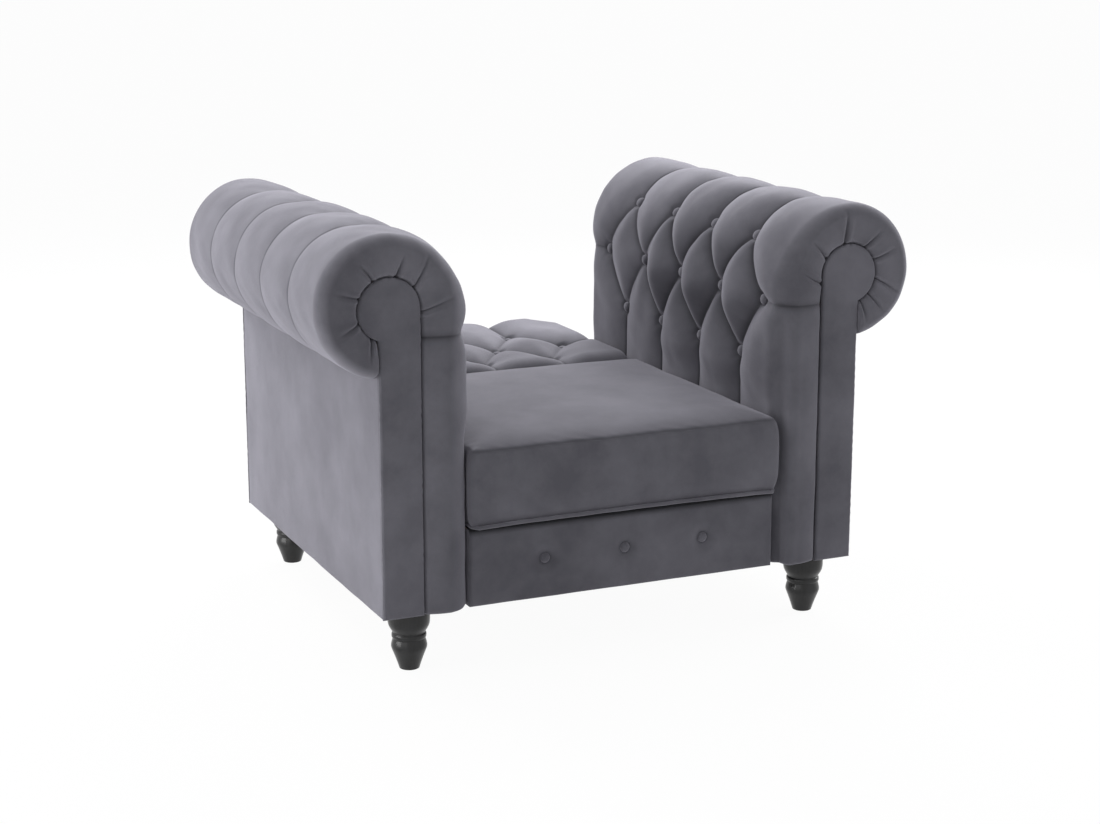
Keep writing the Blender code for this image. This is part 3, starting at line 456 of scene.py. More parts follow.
class Buttoning:
    """Rows of buttons joined by pleats, in lengths along a pad and across it."""

    def __init__(self, rows, counts, pitch, middle, depth, mid_depth, arch, gather, soft):
        self.gather = gather
        self.soft = soft
        self.buttons = []
        for along, count in zip(rows, counts):
            self.buttons.append([(along, middle + pitch * (k - (count - 1) / 2)) for k in range(count)])
        self.pleats = []
        for row, following in zip(self.buttons, self.buttons[1:]):
            for here in row:
                for there in following:
                    if abs(here[1] - there[1]) < pitch * 0.75:
                        self.pleat(here, there, depth, depth, mid_depth, arch)

    def pleat(self, start, end, first, last, middle=None, arch=(0.0, 0.0), reach=PLEAT_REACH):
        """A pleat between two places. The cloth folds over it, which bends its line a little."""
        parts = 1 if middle is None else 4
        share = np.linspace(0, 1, parts + 1)
        bow = 4 * share * (1 - share)
        line = np.array(start) + (np.array(end) - np.array(start)) * share[:, None]
        pull = first + (last - first) * share
        if middle is not None:
            pull = pull + bow * (middle - (first + last) / 2)
        self.pleats.append((line + bow[:, None] * np.array(arch), pull, reach))

    def near_pleat(self, along, across, line, pulls):
        """Distance to the line of a pleat, and how deep the pleat is at its nearest place."""
        away = np.inf
        depth = 0.0
        for start, end, first, last in zip(line, line[1:], pulls, pulls[1:]):
            run = end - start
            share = ((along - start[0]) * run[0] + (across - start[1]) * run[1]) / (run @ run)
            share = np.clip(share, 0, 1)
            here = np.hypot(along - start[0] - share * run[0], across - start[1] - share * run[1])
            depth = np.where(here < away, first + (last - first) * share, depth)
            away = np.minimum(away, here)
        return away, depth

    def at(self, along, across, proud=0.0):
        """How far the cover is drawn in below its crest, and how near a crease is, from 0 to 1.

        The cushions between the pleats stand as far above the crest as proud says.
        """
        weight = pull = reach = 0.0
        nearest = 1.0
        for line, pulls, width in self.pleats:
            away, depth = self.near_pleat(along, across, line, pulls)
            nearest = np.minimum(nearest, away)
            here = np.exp(-away / PLEAT_BLEND) + 1e-30
            weight = weight + here
            pull = pull + here * depth
            reach = reach + here * width
        gap = np.clip(-PLEAT_BLEND * np.log(weight), 0, None)
        gap = np.sqrt(gap**2 + self.soft**2) - self.soft
        slope = 1 - np.clip(gap / (reach / weight), 0, 1)
        local = pull / weight + proud
        shoulder = 1 - np.sqrt(1 - slope**2 * 0.985)
        drawn = local * ((1 - ROUND_SHARE) * slope**2 + ROUND_SHARE * shoulder) - proud
        crease = hump(nearest, self.soft + CREASE_MARGIN)
        drawn = drawn + CREASE_DEPTH * np.minimum(1, 0.5 + local / 0.02) * crease
        for row in self.buttons:
            for button in row:
                near = np.hypot(along - button[0], across - button[1])
                turn = np.arctan2(across - button[1], along - button[0])
                gather = self.gather * np.cos(9 * turn + 40 * button[1]) * hump(near, 0.03)
                drawn = drawn + DIMPLE * (1 - smooth_step(near, 0.008, 0.022))
                drawn = drawn + gather * smooth_step(near, 0.006, 0.014)
        return drawn, crease

    def spots(self, lines, lift, proud=None):
        """For each button: its point in the section of the pad, its place across, and where it faces."""
        for row in self.buttons:
            for along, across in row:
                at = np.array([along]), np.array([across])
                crest, inward, _ = on_pad(at[0], lines)
                drawn, _ = self.at(*at, proud(*at) if proud else 0.0)
                yield crest[0] + inward[0] * (drawn[0] - lift), across, -inward[0]


# %% Buttoning of an arm
ARM_MIDDLE = (FRONT + ARM_REAR) / 2
ARM_PITCH = 0.170
ARM_ROWS = [height - BASE_Z for height in (0.508, 0.624, 0.752)]
ARM_PULL = 0.0155
TOP_PULL = 0.0075  # pull of the pleats on top of the roll
SIDE_PULL = 0.0035  # and on its outer side
EDGE_PULL = 0.0045  # and where a pleat reaches the band
arm_buttoning = Buttoning(
    ARM_ROWS, (4, 5, 4), ARM_PITCH, ARM_MIDDLE,
    depth=ARM_PULL, mid_depth=ARM_PULL, arch=(0.001, 0.010), gather=0.0003, soft=0.0024,
)
for button in arm_buttoning.buttons[0]:
    arm_buttoning.pleat(button, (0.0, button[1]), ARM_PULL, last=0.012, reach=0.072)
for button in arm_buttoning.buttons[2]:
    top = (button[0] + 0.15, button[1])
    side = (button[0] + 0.30, button[1])
    arm_buttoning.pleat(button, top, ARM_PULL, TOP_PULL, middle=0.0125, reach=0.068)
    arm_buttoning.pleat(top, side, TOP_PULL, SIDE_PULL, reach=0.075)
    arm_buttoning.pleat(side, (ARM_LENGTH, button[1]), SIDE_PULL, last=0.003, reach=0.080)
for button, sign in ((arm_buttoning.buttons[1][0], -1), (arm_buttoning.buttons[1][-1], 1)):
    edge = (button[0], button[1] + sign * 0.070)
    beyond = (button[0], button[1] + sign * 0.4)
    arm_buttoning.pleat(button, edge, ARM_PULL, EDGE_PULL, middle=0.0085, reach=0.055)
    arm_buttoning.pleat(edge, beyond, EDGE_PULL, last=0.0020, reach=0.040)
print("arm buttons:", sum(map(len, arm_buttoning.buttons)), "pleats:", len(arm_buttoning.pleats))

# %% [markdown]
# ## The padded arms
# Each ring of the loft is one slice across the arm: it comes out of the facing's seam at the front,
# crosses the padded front band, turns over the rounded edge, runs along the buttoned inside and goes
# down the rear band in the same way. Round the head of the facing the band has to gather, and the spare
# cloth makes short pleats that fan out from the seam.

# %% One slice of the arm
EDGE = 0.050  # room for the rounding of the front and rear edge
INNER_EDGE = 0.046  # the rounding on the inside of the arm
ROLL_EDGE = 0.022  # and on the roll
EDGE_MARGIN = 0.0012
SEAM_SINK = 0.0075
SEAM_WIDTH = 0.0045
SEAM_SLOPE = 0.004
SEAM_SLOPE_WIDTH = 0.016
BAND_SWELL = 0.0075
QUARTER = math.pi / 2


def arm_slice(thick, edge):
    """Depth, place across, the two parts of the inward normal, place on the unrolled cloth and
    distance from the seam, for every point from the seam to the inside of the arm."""
    thick = thick[:, None]
    edge = edge[:, None]
    depth = thick - (thick - edge) * np.linspace(0, 1, 20) ** 1.6
    from_seam = thick - depth
    sink = SEAM_SINK * hump(from_seam, SEAM_WIDTH) + SEAM_SLOPE * np.exp(-from_seam / SEAM_SLOPE_WIDTH)
    swell = BAND_SWELL * np.sin(QUARTER * np.clip(from_seam / (thick - edge), 0, 1))
    unrolled = edge * (1 - QUARTER) - (depth - edge)
    band = points_at(depth, sink - swell, 0.0, 1.0, unrolled, from_seam)
    turn = np.linspace(0, QUARTER, 21)[1:] + 0 * edge
    unrolled = edge * (1 - (QUARTER - turn))
    from_seam = thick - edge + edge * turn
    depth = edge * (1 - np.sin(turn))
    lead = edge * (1 - np.cos(turn)) - BAND_SWELL * np.cos(turn) ** 2
    bend = points_at(depth, lead, np.sin(turn), np.cos(turn), unrolled, from_seam)
    flat = edge + (EDGE + EDGE_MARGIN - edge) * np.linspace(0, 1, 7)[1:]
    rest = points_at(0.0, flat, 1.0, 0.0, flat, 1.0)
    return np.concatenate([band, bend, rest], 1)


def graded(start, end, step, places=(), fine=0.0009):
    """Even steps from start to end, with a few close ones round each given place."""
    even = np.linspace(start, end, round((end - start) / step) + 1)
    nearby = fine * np.array([-4, -2.2, -1, 0, 1, 2.2, 4])
    close = np.concatenate([place + nearby for place in places] or [[]])
    close = close[(close > start + fine) & (close < end - fine)]
    if len(close):
        clear = np.abs(even[:, None] - close).min(1) > 1.1 * fine
        clear[[0, -1]] = True
        even = even[clear]
    return np.sort(np.concatenate([even, close]))


# %% The inside of the arm, unrolled
PROUD = 0.015  # how far the inside stands above the CAD pad
DIAMOND_PROUD = 0.010  # and how much more its diamonds do
DIAMOND_DROOP = 0.022  # they hang this far below their middle
BESIDE_BACK = 0.86  # share of that which is taken away where the back has to rise
STEP = 0.0024


def arm_proud(along, across):
    """The inside swells between the seat and the roll, but not beside the folding back."""
    height = smooth_step(along, 0.30, 0.37) * (1 - smooth_step(along, 0.60, 0.80))
    droop = 0.0
    for _, middle in arm_buttoning.buttons[0]:
        droop = droop + hump(along - ARM_ROWS[1] + DIAMOND_DROOP, 0.046) * hump(across - middle, 0.052)
    edge = smooth_step(np.minimum(across - FRONT, ARM_REAR - across), -0.01, 0.09)
    room = 1 - BESIDE_BACK * smooth_step(across, -0.06, 0.03)
    return (PROUD * height + DIAMOND_PROUD * droop) * edge * room


def unrolled_arm():
    """The places of the cover's points before they are drawn in, and how far the buttons draw them."""
    tufted = (ARM_ROWS[0] - 0.03, ARM_ROWS[2] + 0.03)
    hem = 0.012
    below = np.concatenate([np.linspace(0, hem, 5)[:-1], graded(hem, tufted[0], 0.006)[:-1]])
    above = graded(tufted[1], ARM_LENGTH, 0.0032)
    along = np.concatenate([below, graded(*tufted, STEP, ARM_ROWS[1:2])[:-1], above])
    _, _, thick = on_pad(along, ARM_LINES)
    edge = INNER_EDGE + (ROLL_EDGE - INNER_EDGE) * smooth_step(along, 0.46, 0.66)
    depth, lead, into_depth, into_lead, unrolled, from_seam = np.moveaxis(arm_slice(thick, edge), -1, 0)
    columns = [button[1] for button in arm_buttoning.buttons[0]]
    inner = graded(FRONT + EDGE, ARM_REAR - EDGE, STEP, columns)[1:-1]
    wide = np.ones((len(along), len(inner)))

    def whole(front, middle, rear):
        return np.concatenate([front, middle, rear[:, ::-1]], 1)

    cloth = whole(FRONT + unrolled, wide * inner, ARM_REAR - unrolled)
    lengths = np.broadcast_to(along[:, None], cloth.shape)
    drawn, crease = arm_buttoning.at(lengths, cloth, arm_proud(lengths, cloth))
    return {
        "lengths": lengths,
        "cloth": cloth,
        "depth": whole(depth, 0 * wide, depth),
        "across": whole(FRONT + lead, wide * inner, ARM_REAR - lead),
        "into_depth": whole(into_depth, wide, into_depth),
        "into_lead": whole(into_lead, 0 * wide, -into_lead),
        "from_seam": whole(from_seam, wide, from_seam),
        "drawn": drawn,
        "crease": crease,
    }


UNROLLED = unrolled_arm()
print("one arm:", UNROLLED["cloth"].shape, "points")

# %% Gathers round the head of the facing
GATHERS = {  # angle round the head in degrees, reach and depth of each gathered pleat
    "left": ((-68, 0.034, 0.008), (-55, 0.044, 0.009), (-20, 0.048, 0.008), (23, 0.052, 0.009),
             (62, 0.050, 0.009), (104, 0.046, 0.011), (143, 0.064, 0.010), (188, 0.066, 0.007)),
    "right": ((-72, 0.036, 0.008), (-62, 0.044, 0.008), (-42, 0.048, 0.009), (-11, 0.060, 0.009),
              (24, 0.050, 0.009), (56, 0.048, 0.008), (102, 0.070, 0.013), (148, 0.060, 0.011),
              (196, 0.062, 0.008)),
}
GATHER_WIDTH = 0.012
GATHER_LINE = 0.003
GATHER_SHARE = 0.9
PUFF = 0.0020  # swelling on both sides of a gather


def gathered(drawn, crease, gathers, seed):
    """The drawn-in depth and the creases with the gathers added."""
    seam = ARM_LINES[2]
    angle = np.degrees(np.arctan2(seam[:, 1] - HEAD[1], seam[:, 0] - HEAD[0]))
    angle = np.where(angle < -90, angle + 360, angle)
    from_seam = UNROLLED["from_seam"]
    for number, (degrees, reach, size) in enumerate(gathers):
        place = np.interp(-degrees, -angle, ARM_LINES[0])
        lean = 0.25 * math.sin(2.4 * number + seed)
        away = (UNROLLED["lengths"] - place - lean * from_seam) / GATHER_WIDTH
        fade = np.clip(1 - from_seam / reach, 0, 1) ** 0.8
        sharp = np.clip(1 - np.abs(away), 0, 1) ** 2
        puffs = np.exp(-((np.abs(away) - 1.1) ** 2) * 3)
        drawn = drawn + fade * (GATHER_SHARE * size * sharp - PUFF * puffs)
        crease = np.maximum(crease, fade * hump(away * GATHER_WIDTH, GATHER_LINE))
    return drawn, crease


# %% Covers of the arms
VALLEY = {"left": 0.0, "right": 0.0085}  # hollow of the stuffing beside the band
HEM = 0.009
STUFFING = (0.0012, 0.12)  # size and length of the unevenness
# amounts of painted shade on the arm covers: when sunk, in creases, in hollows round the pleats, at the seam
SUNK_SHADE = 0.42
CREASE_SHADE = 0.95
HOLLOW_SHADE = 0.50
SEAM_SHADE = 0.8


def cover_of_arm(gathers, valley_depth, seed):
    """Points of the right arm's cover, ring by ring, and the painted shade of each, darker in creases, hollows and
    at the seam.
    """
    lengths = UNROLLED["lengths"]
    cloth = UNROLLED["cloth"]
    crest, inward, thick = on_pad(lengths[:, 0], ARM_LINES)
    beside_edge = np.minimum(cloth - FRONT, ARM_REAR - cloth)
    tufted = smooth_step(lengths, 0.33, 0.39) * (1 - smooth_step(lengths, 0.60, 0.70))
    hollow = UNROLLED["crease"] ** 0.09 * tufted
    crease = UNROLLED["crease"] * (0.5 + 0.5 * smooth_step(beside_edge, -0.02, 0.03))
    drawn, crease = gathered(UNROLLED["drawn"], crease, gathers, seed)
    valley = hump(beside_edge - 0.014, 0.012) - 0.40 * hump(beside_edge + 0.011, 0.010)
    drawn = drawn + valley_depth * valley * (1 - smooth_step(lengths, 0.42, 0.52))
    for rest in (lengths, ARM_LENGTH - lengths):
        drawn = drawn + rounded_over(rest, HEM)
    place = points_at(crest[:, :1], cloth, crest[:, 1:])
    drawn = drawn + wobble(place, *STUFFING, seed)

    tail_depth = points_at(thick, ARM_FOAM, ARM_FOAM, thick)
    tail_across = [ARM_REAR - LIP, ARM_REAR - LIP, FRONT + LIP, FRONT + LIP]
    tail_across = np.broadcast_to(tail_across, tail_depth.shape)
    depth = np.concatenate([UNROLLED["depth"] + drawn * UNROLLED["into_depth"], tail_depth], 1)
    across = np.concatenate([UNROLLED["across"] + drawn * UNROLLED["into_lead"], tail_across], 1)
    # painted shade: darker with depth, in the creases and hollows round the pleats and along the facing's seam
    sunk = np.clip((drawn + arm_proud(lengths, cloth)) / 0.032, 0, 1)
    shade = SUNK_SHADE * sunk**1.5 + CREASE_SHADE * crease + HOLLOW_SHADE * hollow
    shade = np.maximum(shade, SEAM_SHADE * np.exp(-UNROLLED["from_seam"] / 0.0028))
    fold = np.concatenate([np.clip(shade, 0, 1), np.ones_like(tail_depth)], 1)
    x = crest[:, :1] + inward[:, :1] * depth
    z = crest[:, 1:] + inward[:, 1:] * depth
    return points_at(x, across, z), fold


for side, sign in SIDES.items():
    arm_points, arm_fold = cover_of_arm(GATHERS[side], VALLEY[side], sign)
    replaced = (f"{side}_arm_pad", f"{side}_arm_base_rail")
    pad = lofted(f"arm_cover_{side}", arm_points * [sign, 1, 1], replaced=replaced, fold=arm_fold)
print("arm covers:", arm_points.shape[:2], "points each")

# %% [markdown]
# ## Covered buttons
# A covered button is a metal dome with the same cloth pulled over it and tucked behind, so it is a low
# dome with a rounded rim. All the buttons of one pad are one piece, because they are sewn to that pad.

# %% Buttons of the arms
BUTTON_RADIUS = 0.0108
BUTTON_LIFT = 0.0050
BUTTON_PROFILE = ((0.35, 0.0058), (0.62, 0.0047), (0.84, 0.0030), (0.97, 0.0010), (1.0, -0.0008),
                  (0.93, -0.0024), (0.6, -0.0032))  # share of the radius, height
BUTTON_STEPS = 20
PUCKER = 0.010


def spun(profile, steps, pucker=0.0):
    """Rings of a profile of radius and height, spun about an upright axis."""
    angle = np.linspace(0, 2 * math.pi, steps, endpoint=False)
    radius, height = np.array(profile).T[:, :, None]
    radius = radius * (1 + pucker * radius * np.cos(8 * angle))
    return points_at(radius * np.cos(angle), radius * np.sin(angle), height)


def button_set(name, places, radius, **more):
    profile = [(radius * share, height) for share, height in BUTTON_PROFILE]
    dome = spun(profile, BUTTON_STEPS, PUCKER / radius).reshape(-1, 3)
    shape = loft_faces(len(profile), BUTTON_STEPS)
    points = []
    faces = []
    for number, (centre, outward) in enumerate(places):
        turn = Vector((0, 0, 1)).rotation_difference(Vector(outward)).to_matrix()
        points.append(dome @ np.array(turn).T + np.array(centre))
        faces += [[number * len(dome) + corner for corner in face] for face in shape]
    return piece(name, np.concatenate(points), faces, **more)


for side, sign in SIDES.items():
    places = []
    for spot, across, out in arm_buttoning.spots(ARM_LINES, BUTTON_LIFT, arm_proud):
        places.append(((sign * spot[0], across, spot[1]), (sign * out[0], 0, out[1])))
    button_set(f"arm_buttons_{side}", places, BUTTON_RADIUS)
print("buttons on each arm:", len(places))

# %% [markdown]
# ## Facings
# The flat scroll at each end of an arm is a thin board with a layer of wadding, covered before it is
# fixed. It swells a little and turns over at its edge, which leaves a fine groove along the band. Every
# level of the scroll is one straight run from left to right, so it can be lofted from the bottom up.

# %% Scroll facings
FACING_EDGE = 0.0045
FACING_RIM = 1.2 * FACING_EDGE  # width of the close columns of points at each edge
FACING_SINK = 0.0025  # behind the front of the arm
FACING_DEPTH = 0.0112
PANEL_DEPTH = 0.006  # depth where the outer panel meets the facing
FACING_SWELL = 0.0016


def facing_span(z):
    """Left and right end of the scroll at a height."""
    rise = z - HEAD[1]
    reach = np.sqrt(np.clip(HEAD_RADIUS**2 - rise**2, 0, None))
    left = np.where(rise < 0, FACING_X, HEAD[0] - reach)
    neck = HEAD[1] - math.sqrt(HEAD_RADIUS**2 - (OUTER_X - HEAD[0]) ** 2)
    right = np.where(z < neck, OUTER_X, HEAD[0] + reach)
    return left, right


def facing_grid():
    """Levels of the scroll, its two ends at each level, and the places across it."""
    chin = HEAD[1] - HEAD_RADIUS
    z = np.concatenate([
        BASE_Z + np.linspace(0, FACING_EDGE, 5)[:-1],
        np.linspace(BASE_Z + FACING_EDGE, chin, 60)[:-1],
        np.linspace(chin, HEAD[1], 40)[:-1],
        HEAD[1] + (HEAD_RADIUS - 0.0004) * np.sin(np.linspace(0, QUARTER, 40)),
    ])
    left, right = facing_span(z)
    rim = np.linspace(0, 1, 6)[:-1] ** 1.3
    edge = np.minimum(FACING_RIM, (right - left) / 2 * 0.7)[:, None]
    start = left[:, None]
    end = right[:, None]
    middle = start + edge + (end - start - 2 * edge) * np.linspace(0, 1, 13)
    return z, left, right, np.concatenate([start + edge * rim, middle, end - edge * rim[::-1]], 1)


def facing(side, sign, end, y, out):
    z, left, right, x = facing_grid()
    level = np.broadcast_to(z[:, None], x.shape)
    outline_z = np.linspace(BASE_Z, HEAD[1] + HEAD_RADIUS, 400)
    line = np.concatenate([points_at(edge, outline_z) for edge in facing_span(outline_z)])
    away = points_at(x, level)[:, :, None] - line
    from_edge = np.sqrt((away**2).sum(-1).min(-1))
    from_edge = np.minimum(from_edge, level - BASE_Z)
    swell = FACING_SWELL * smooth_step(from_edge, 0.0, 0.035)
    swell = swell + wobble(points_at(x, y, level), 0.0007, 0.13, 1.0)
    front = points_at(sign * x, y + out * (rounded_over(from_edge, FACING_EDGE) - swell), level)
    outer_depth = np.where(z < HEAD[1] - HEAD_RADIUS, PANEL_DEPTH, FACING_DEPTH)
    outer = points_at(sign * right, y + out * outer_depth, z)
    inner = points_at(sign * left, y + out * FACING_DEPTH, z)
    points = np.concatenate([front, np.stack([outer, inner], 1)], 1)
    # painted shade: the rim of each facing is darkened along the groove by the band
    shade = 0.3 * np.clip(1 - from_edge / 0.0012, 0, 1)
    fold = np.concatenate([shade, np.ones((len(z), 2))], 1)
    lofted(f"{end}_facing_{side}", points, replaced=(f"{side}_arm_{end}_facing",), fold=fold)


for side, sign in SIDES.items():
    facing(side, sign, "front", FRONT + FACING_SINK, 1)
    facing(side, sign, "rear", ARM_REAR - FACING_SINK, -1)
print("facings: four scrolls", round(HEAD_RADIUS * 2000), "mm across the head")

# %% [markdown]
# ## Covered boards
# The outer sides, the rear board, and the sides and rear of the folding back are boards with cloth
# drawn tight over them. A block with rounded edges stands for each. It is a box of rows of points that
# are pushed out from a smaller box by the rounding, then swelled a little.


# %% Rounded blocks
def ticks(start, end, rounding, step):
    rim = rounding * np.array([0, 0.12, 0.3, 0.55, 0.8])
    middle = np.linspace(start + rounding, end - rounding, max(2, round((end - start) / step)))
    return np.concatenate([start + rim, middle, end - rim[::-1]])


def soft_block(name, low, high, rounding=0.004, swell=0.0, step=0.02, seed=0.0, **more):
    low = np.array(low)
    high = np.array(high)
    grid = [ticks(low[k], high[k], rounding, step) for k in range(3)]
    sides = []
    faces = []
    count = 0
    for axis in range(3):
        first, second = [k for k in range(3) if k != axis]
        one, two = np.meshgrid(grid[first], grid[second], indexing="ij")
        for level in (low[axis], high[axis]):
            coordinates = {axis: level, first: one, second: two}
            faces += grid_faces(*one.shape, count)
            sides.append(points_at(*[coordinates[k] for k in range(3)]).reshape(-1, 3))
            count += one.size
    flat = np.concatenate(sides)
    core = np.clip(flat, low + rounding, high - rounding)
    push = flat - core
    push = push / np.maximum(np.linalg.norm(push, axis=1), 1e-9)[:, None]
    middle = (2 * (core - low) / (high - low) - 1) ** 2
    puff = [(1 - middle[:, (k + 1) % 3]) * (1 - middle[:, (k + 2) % 3]) for k in range(3)]
    rise = np.stack(puff, 1) * swell * push
    uneven = wobble(flat, 0.35 * swell, 0.16, seed)[:, None]
    return piece(name, core + push * rounding + rise + push * uneven, faces, weld=True, **more)


# %% Boards of the arms and the back
GAP = 0.0005
PANEL_INSET = 0.0085
for side, sign in SIDES.items():
    low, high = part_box(f"{side}_arm_outer_panel")
    low.y = FRONT + PANEL_INSET
    high.y = ARM_REAR - PANEL_INSET
    replaced = (f"{side}_arm_outer_panel",)
    soft_block(f"outer_side_{side}", low, high, swell=0.0022, step=0.022, seed=sign, replaced=replaced)
    low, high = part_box(f"{side}_arm_base_rail")
    if sign > 0:
        low.x = FACE_X + ARM_FOAM + GAP
    else:
        high.x = -FACE_X - ARM_FOAM - GAP
    low.y = FRONT + LIP + GAP
    high.y = ARM_REAR - LIP - GAP
    soft_block(f"base_rail_{side}", low, high, rounding=0.003, step=0.05, slot="timber")
COVERED = (  # piece, CAD node, body, swell, seed
    ("rear_board_cover", "seat_rear_board", "base", 0.0015, 4.0),
    ("back_side_left", "back_stile_left", "back", 0.0005, 0.0),
    ("back_side_right", "back_stile_right", "back", 0.0005, 0.0),
    ("back_rear_cover", "back_rear_panel", "back", 0.0020, 2.0),
)
for name, node, body, swell, seed in COVERED:
    soft_block(name, *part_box(node), swell=swell, seed=seed, body=body, replaced=(node,))
print("covered boards: two outer sides, the rear board and the folding back")

# %% [markdown]
# ## The front rail
# The rail under the cushion is a board with a thin layer of wadding and three covered buttons. Each
# button pulls the cover into a soft dimple, and the cloth shows a few short drag lines round it. The
# velvet goes round the ends of the board, which show beside the rounded arms. A strip of black deck
# cloth lies on top of it, partly as painted shadow, so that the gap under the cushion is dark. The
# dimples, a ring round each button and the top edge are darkened with painted shade.

# %% Front rail cover
RAIL_LOW, RAIL_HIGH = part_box("front_rail_cover")
RAIL_EDGE = 0.005
RAIL_BROW = 0.013  # rounding of the upper edge
BROW_SHARE = 0.85
RAIL_DIMPLE = 0.0052
DRAG = 0.0006
RING_SHADE = 0.75
RAIL_BUTTONS = [f"front_button_{name}" for name in ("left", "centre", "right")]
RAIL_SPOTS = [(a + b) / 2 for a, b in (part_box(node) for node in RAIL_BUTTONS)]


def edged(low, high):
    """Even steps with close ones along both edges."""
    rim = RAIL_EDGE * np.linspace(0, 1, 6)
    middle = np.arange(low + RAIL_EDGE, high - RAIL_EDGE, 0.004)
    return np.concatenate([low + rim[:-1], middle, high - rim[::-1]])


def front_rail():
    low, high = RAIL_LOW, RAIL_HIGH
    x = edged(low.x, high.x)
    along, level = np.meshgrid(x, edged(low.z, high.z), indexing="ij")
    from_edge = np.minimum.reduce([along - low.x, high.x - along, level - low.z, high.z - level])
    drawn = rounded_over(from_edge, RAIL_EDGE)
    drawn = np.maximum(drawn, BROW_SHARE * rounded_over(high.z - level, RAIL_BROW))
    rings = 0.0
    for number, spot in enumerate(RAIL_SPOTS):
        near = np.hypot(along - spot.x, level - spot.z)
        turn = np.arctan2(level - spot.z, along - spot.x)
        drag = DRAG * np.cos(2 * turn + 1.3 * number + 0.8) * hump(near - 0.022, 0.014)
        drawn = drawn + RAIL_DIMPLE * (1 - smooth_step(near, 0.007, 0.032)) + drag
        rings = np.maximum(rings, hump(near - 0.0100, 0.0022))
    drawn = drawn + wobble(points_at(along, low.y, level), 0.0009, 0.14, 3.0)
    cover = points_at(along, low.y + drawn, level)
    back = np.stack([points_at(x, high.y, z) for z in (high.z, low.z)], 1)
    # painted shade: darker in the dimples, in a ring round each button and down the top edge under the cushion
    shade = np.clip(0.2 * drawn / 0.012, 0, 0.2)
    shade = np.maximum(shade, smooth_step(level, high.z - 0.0125, high.z - 0.0040))
    fold = np.concatenate([np.maximum(shade, RING_SHADE * rings), np.ones((len(x), 2))], 1)
    points = np.concatenate([cover, back], 1)
    rail = lofted("front_rail_upholstery", points, replaced=("front_rail_cover",), fold=fold)


front_rail()
print("front rail:", round(RAIL_HIGH.x - RAIL_LOW.x, 3), "m wide")

# %% Ends of the rail, its buttons and the black deck cloth, which is partly painted shadow under the cushion
END_NEAR = 0.0002  # a strip of velvet lies between these distances from the rail's end
END_FAR = 0.0012
DECK_DROP = 0.0045  # how far the deck cloth comes down the rail's face
DECK_LIFT = 0.0004


def rail_ends():
    for side, sign in SIDES.items():
        end_x = sorted(sign * (RAIL_HIGH.x + gap) for gap in (END_NEAR, END_FAR))
        start = (end_x[0], RAIL_LOW.y + 0.0055, RAIL_LOW.z + 0.001)
        stop = (end_x[1], RAIL_LOW.y + 0.055, RAIL_HIGH.z - 0.0003)
        soft_block(f"rail_end_{side}", start, stop, rounding=0.0004)


# black deck cloth, partly painted shadow: the strip is put where the gap under the cushion lies in shade, so that
# it shows dark
def deck_cloth_painted_shadow():
    low, high = RAIL_LOW, RAIL_HIGH
    drop = np.linspace(0, DECK_DROP, 9)
    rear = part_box("front_rail_board")[1].y
    turned = BROW_SHARE * rounded_over(drop, RAIL_BROW)
    outer = points_at(low.y + turned - 0.0012, high.z + DECK_LIFT - drop)
    inner = outer + [0.0016, -0.0002]
    upper = np.concatenate([[[rear, high.z + DECK_LIFT]], outer])
    section = np.concatenate([upper, inner[::-1], [[rear, high.z - 0.0008]]])
    x = np.linspace(low.x, high.x, 60)[:, None]
    deck = lofted("deck_cloth_painted_shadow", points_at(x, section[:, 0], section[:, 1]), slot="dust_cloth")


rail_ends()
places = [((spot.x, RAIL_LOW.y + 0.0044, spot.z), (0, -1, 0)) for spot in RAIL_SPOTS]
button_set("front_buttons", places, 0.0096, replaced=tuple(RAIL_BUTTONS))
deck_cloth_painted_shadow()
print("front rail: two ends,", len(places), "buttons, and the black deck cloth under the cushion")

# %% [markdown]
# ## The seat cushion
# A box cushion is two panels and a border, sewn together and filled a little too full, so each panel
# swells between its seams. That is what cloth simulation is good at: the seams are pinned, air pressure
# pushes the panels out, and the swelling is then limited so that the cushion still fits between the arms.

# %% Cloth of the cushion
CUSHION_RIM = SEAT_TOP.z - 0.017  # height of the upper seam
CUSHION_BASE = SEAT_LOW.z + 0.0075
CUSHION_CORNER = 0.012
CUSHION_STEP = 0.0085


def cushion_shape():
    """A box of rows of points, close together near its seams, with rounded upright corners."""
    low = np.array([SEAT_LOW.x + GAP, SEAT_LOW.y, CUSHION_BASE])
    high = np.array([SEAT_TOP.x - GAP, SEAT_TOP.y, CUSHION_RIM])
    x = ticks(low[0], high[0], CUSHION_CORNER, CUSHION_STEP)
    y = ticks(low[1], high[1], CUSHION_CORNER, CUSHION_STEP)
    z = ticks(low[2], high[2], 0.016, 0.009)

    def rounded(points):
        core = np.clip(points, low[:2] + CUSHION_CORNER, high[:2] - CUSHION_CORNER)
        push = points - core
        size = np.maximum(np.abs(push).max(1), 1e-9)
        length = np.maximum(np.linalg.norm(push, axis=1), 1e-9)
        return core + push * (size / length)[:, None]

    edge = [points_at(x[:-1], y[0]), points_at(x[-1], y[:-1])]
    edge += [points_at(x[:0:-1], y[-1]), points_at(x[0], y[:0:-1])]
    wall = rounded(np.concatenate(edge))
    panel = rounded(points_at(*np.meshgrid(x, y, indexing="ij")).reshape(-1, 2))
    points = [points_at(wall[:, 0], wall[:, 1], z[:, None]).reshape(-1, 3)]
    faces = ring_wall(len(z), len(wall))
    start = len(points[0])
    for level in (low[2], high[2]):
        faces += grid_faces(len(x), len(y), start)
        points.append(points_at(panel[:, 0], panel[:, 1], level))
        start += len(panel)
    return np.concatenate(points), faces


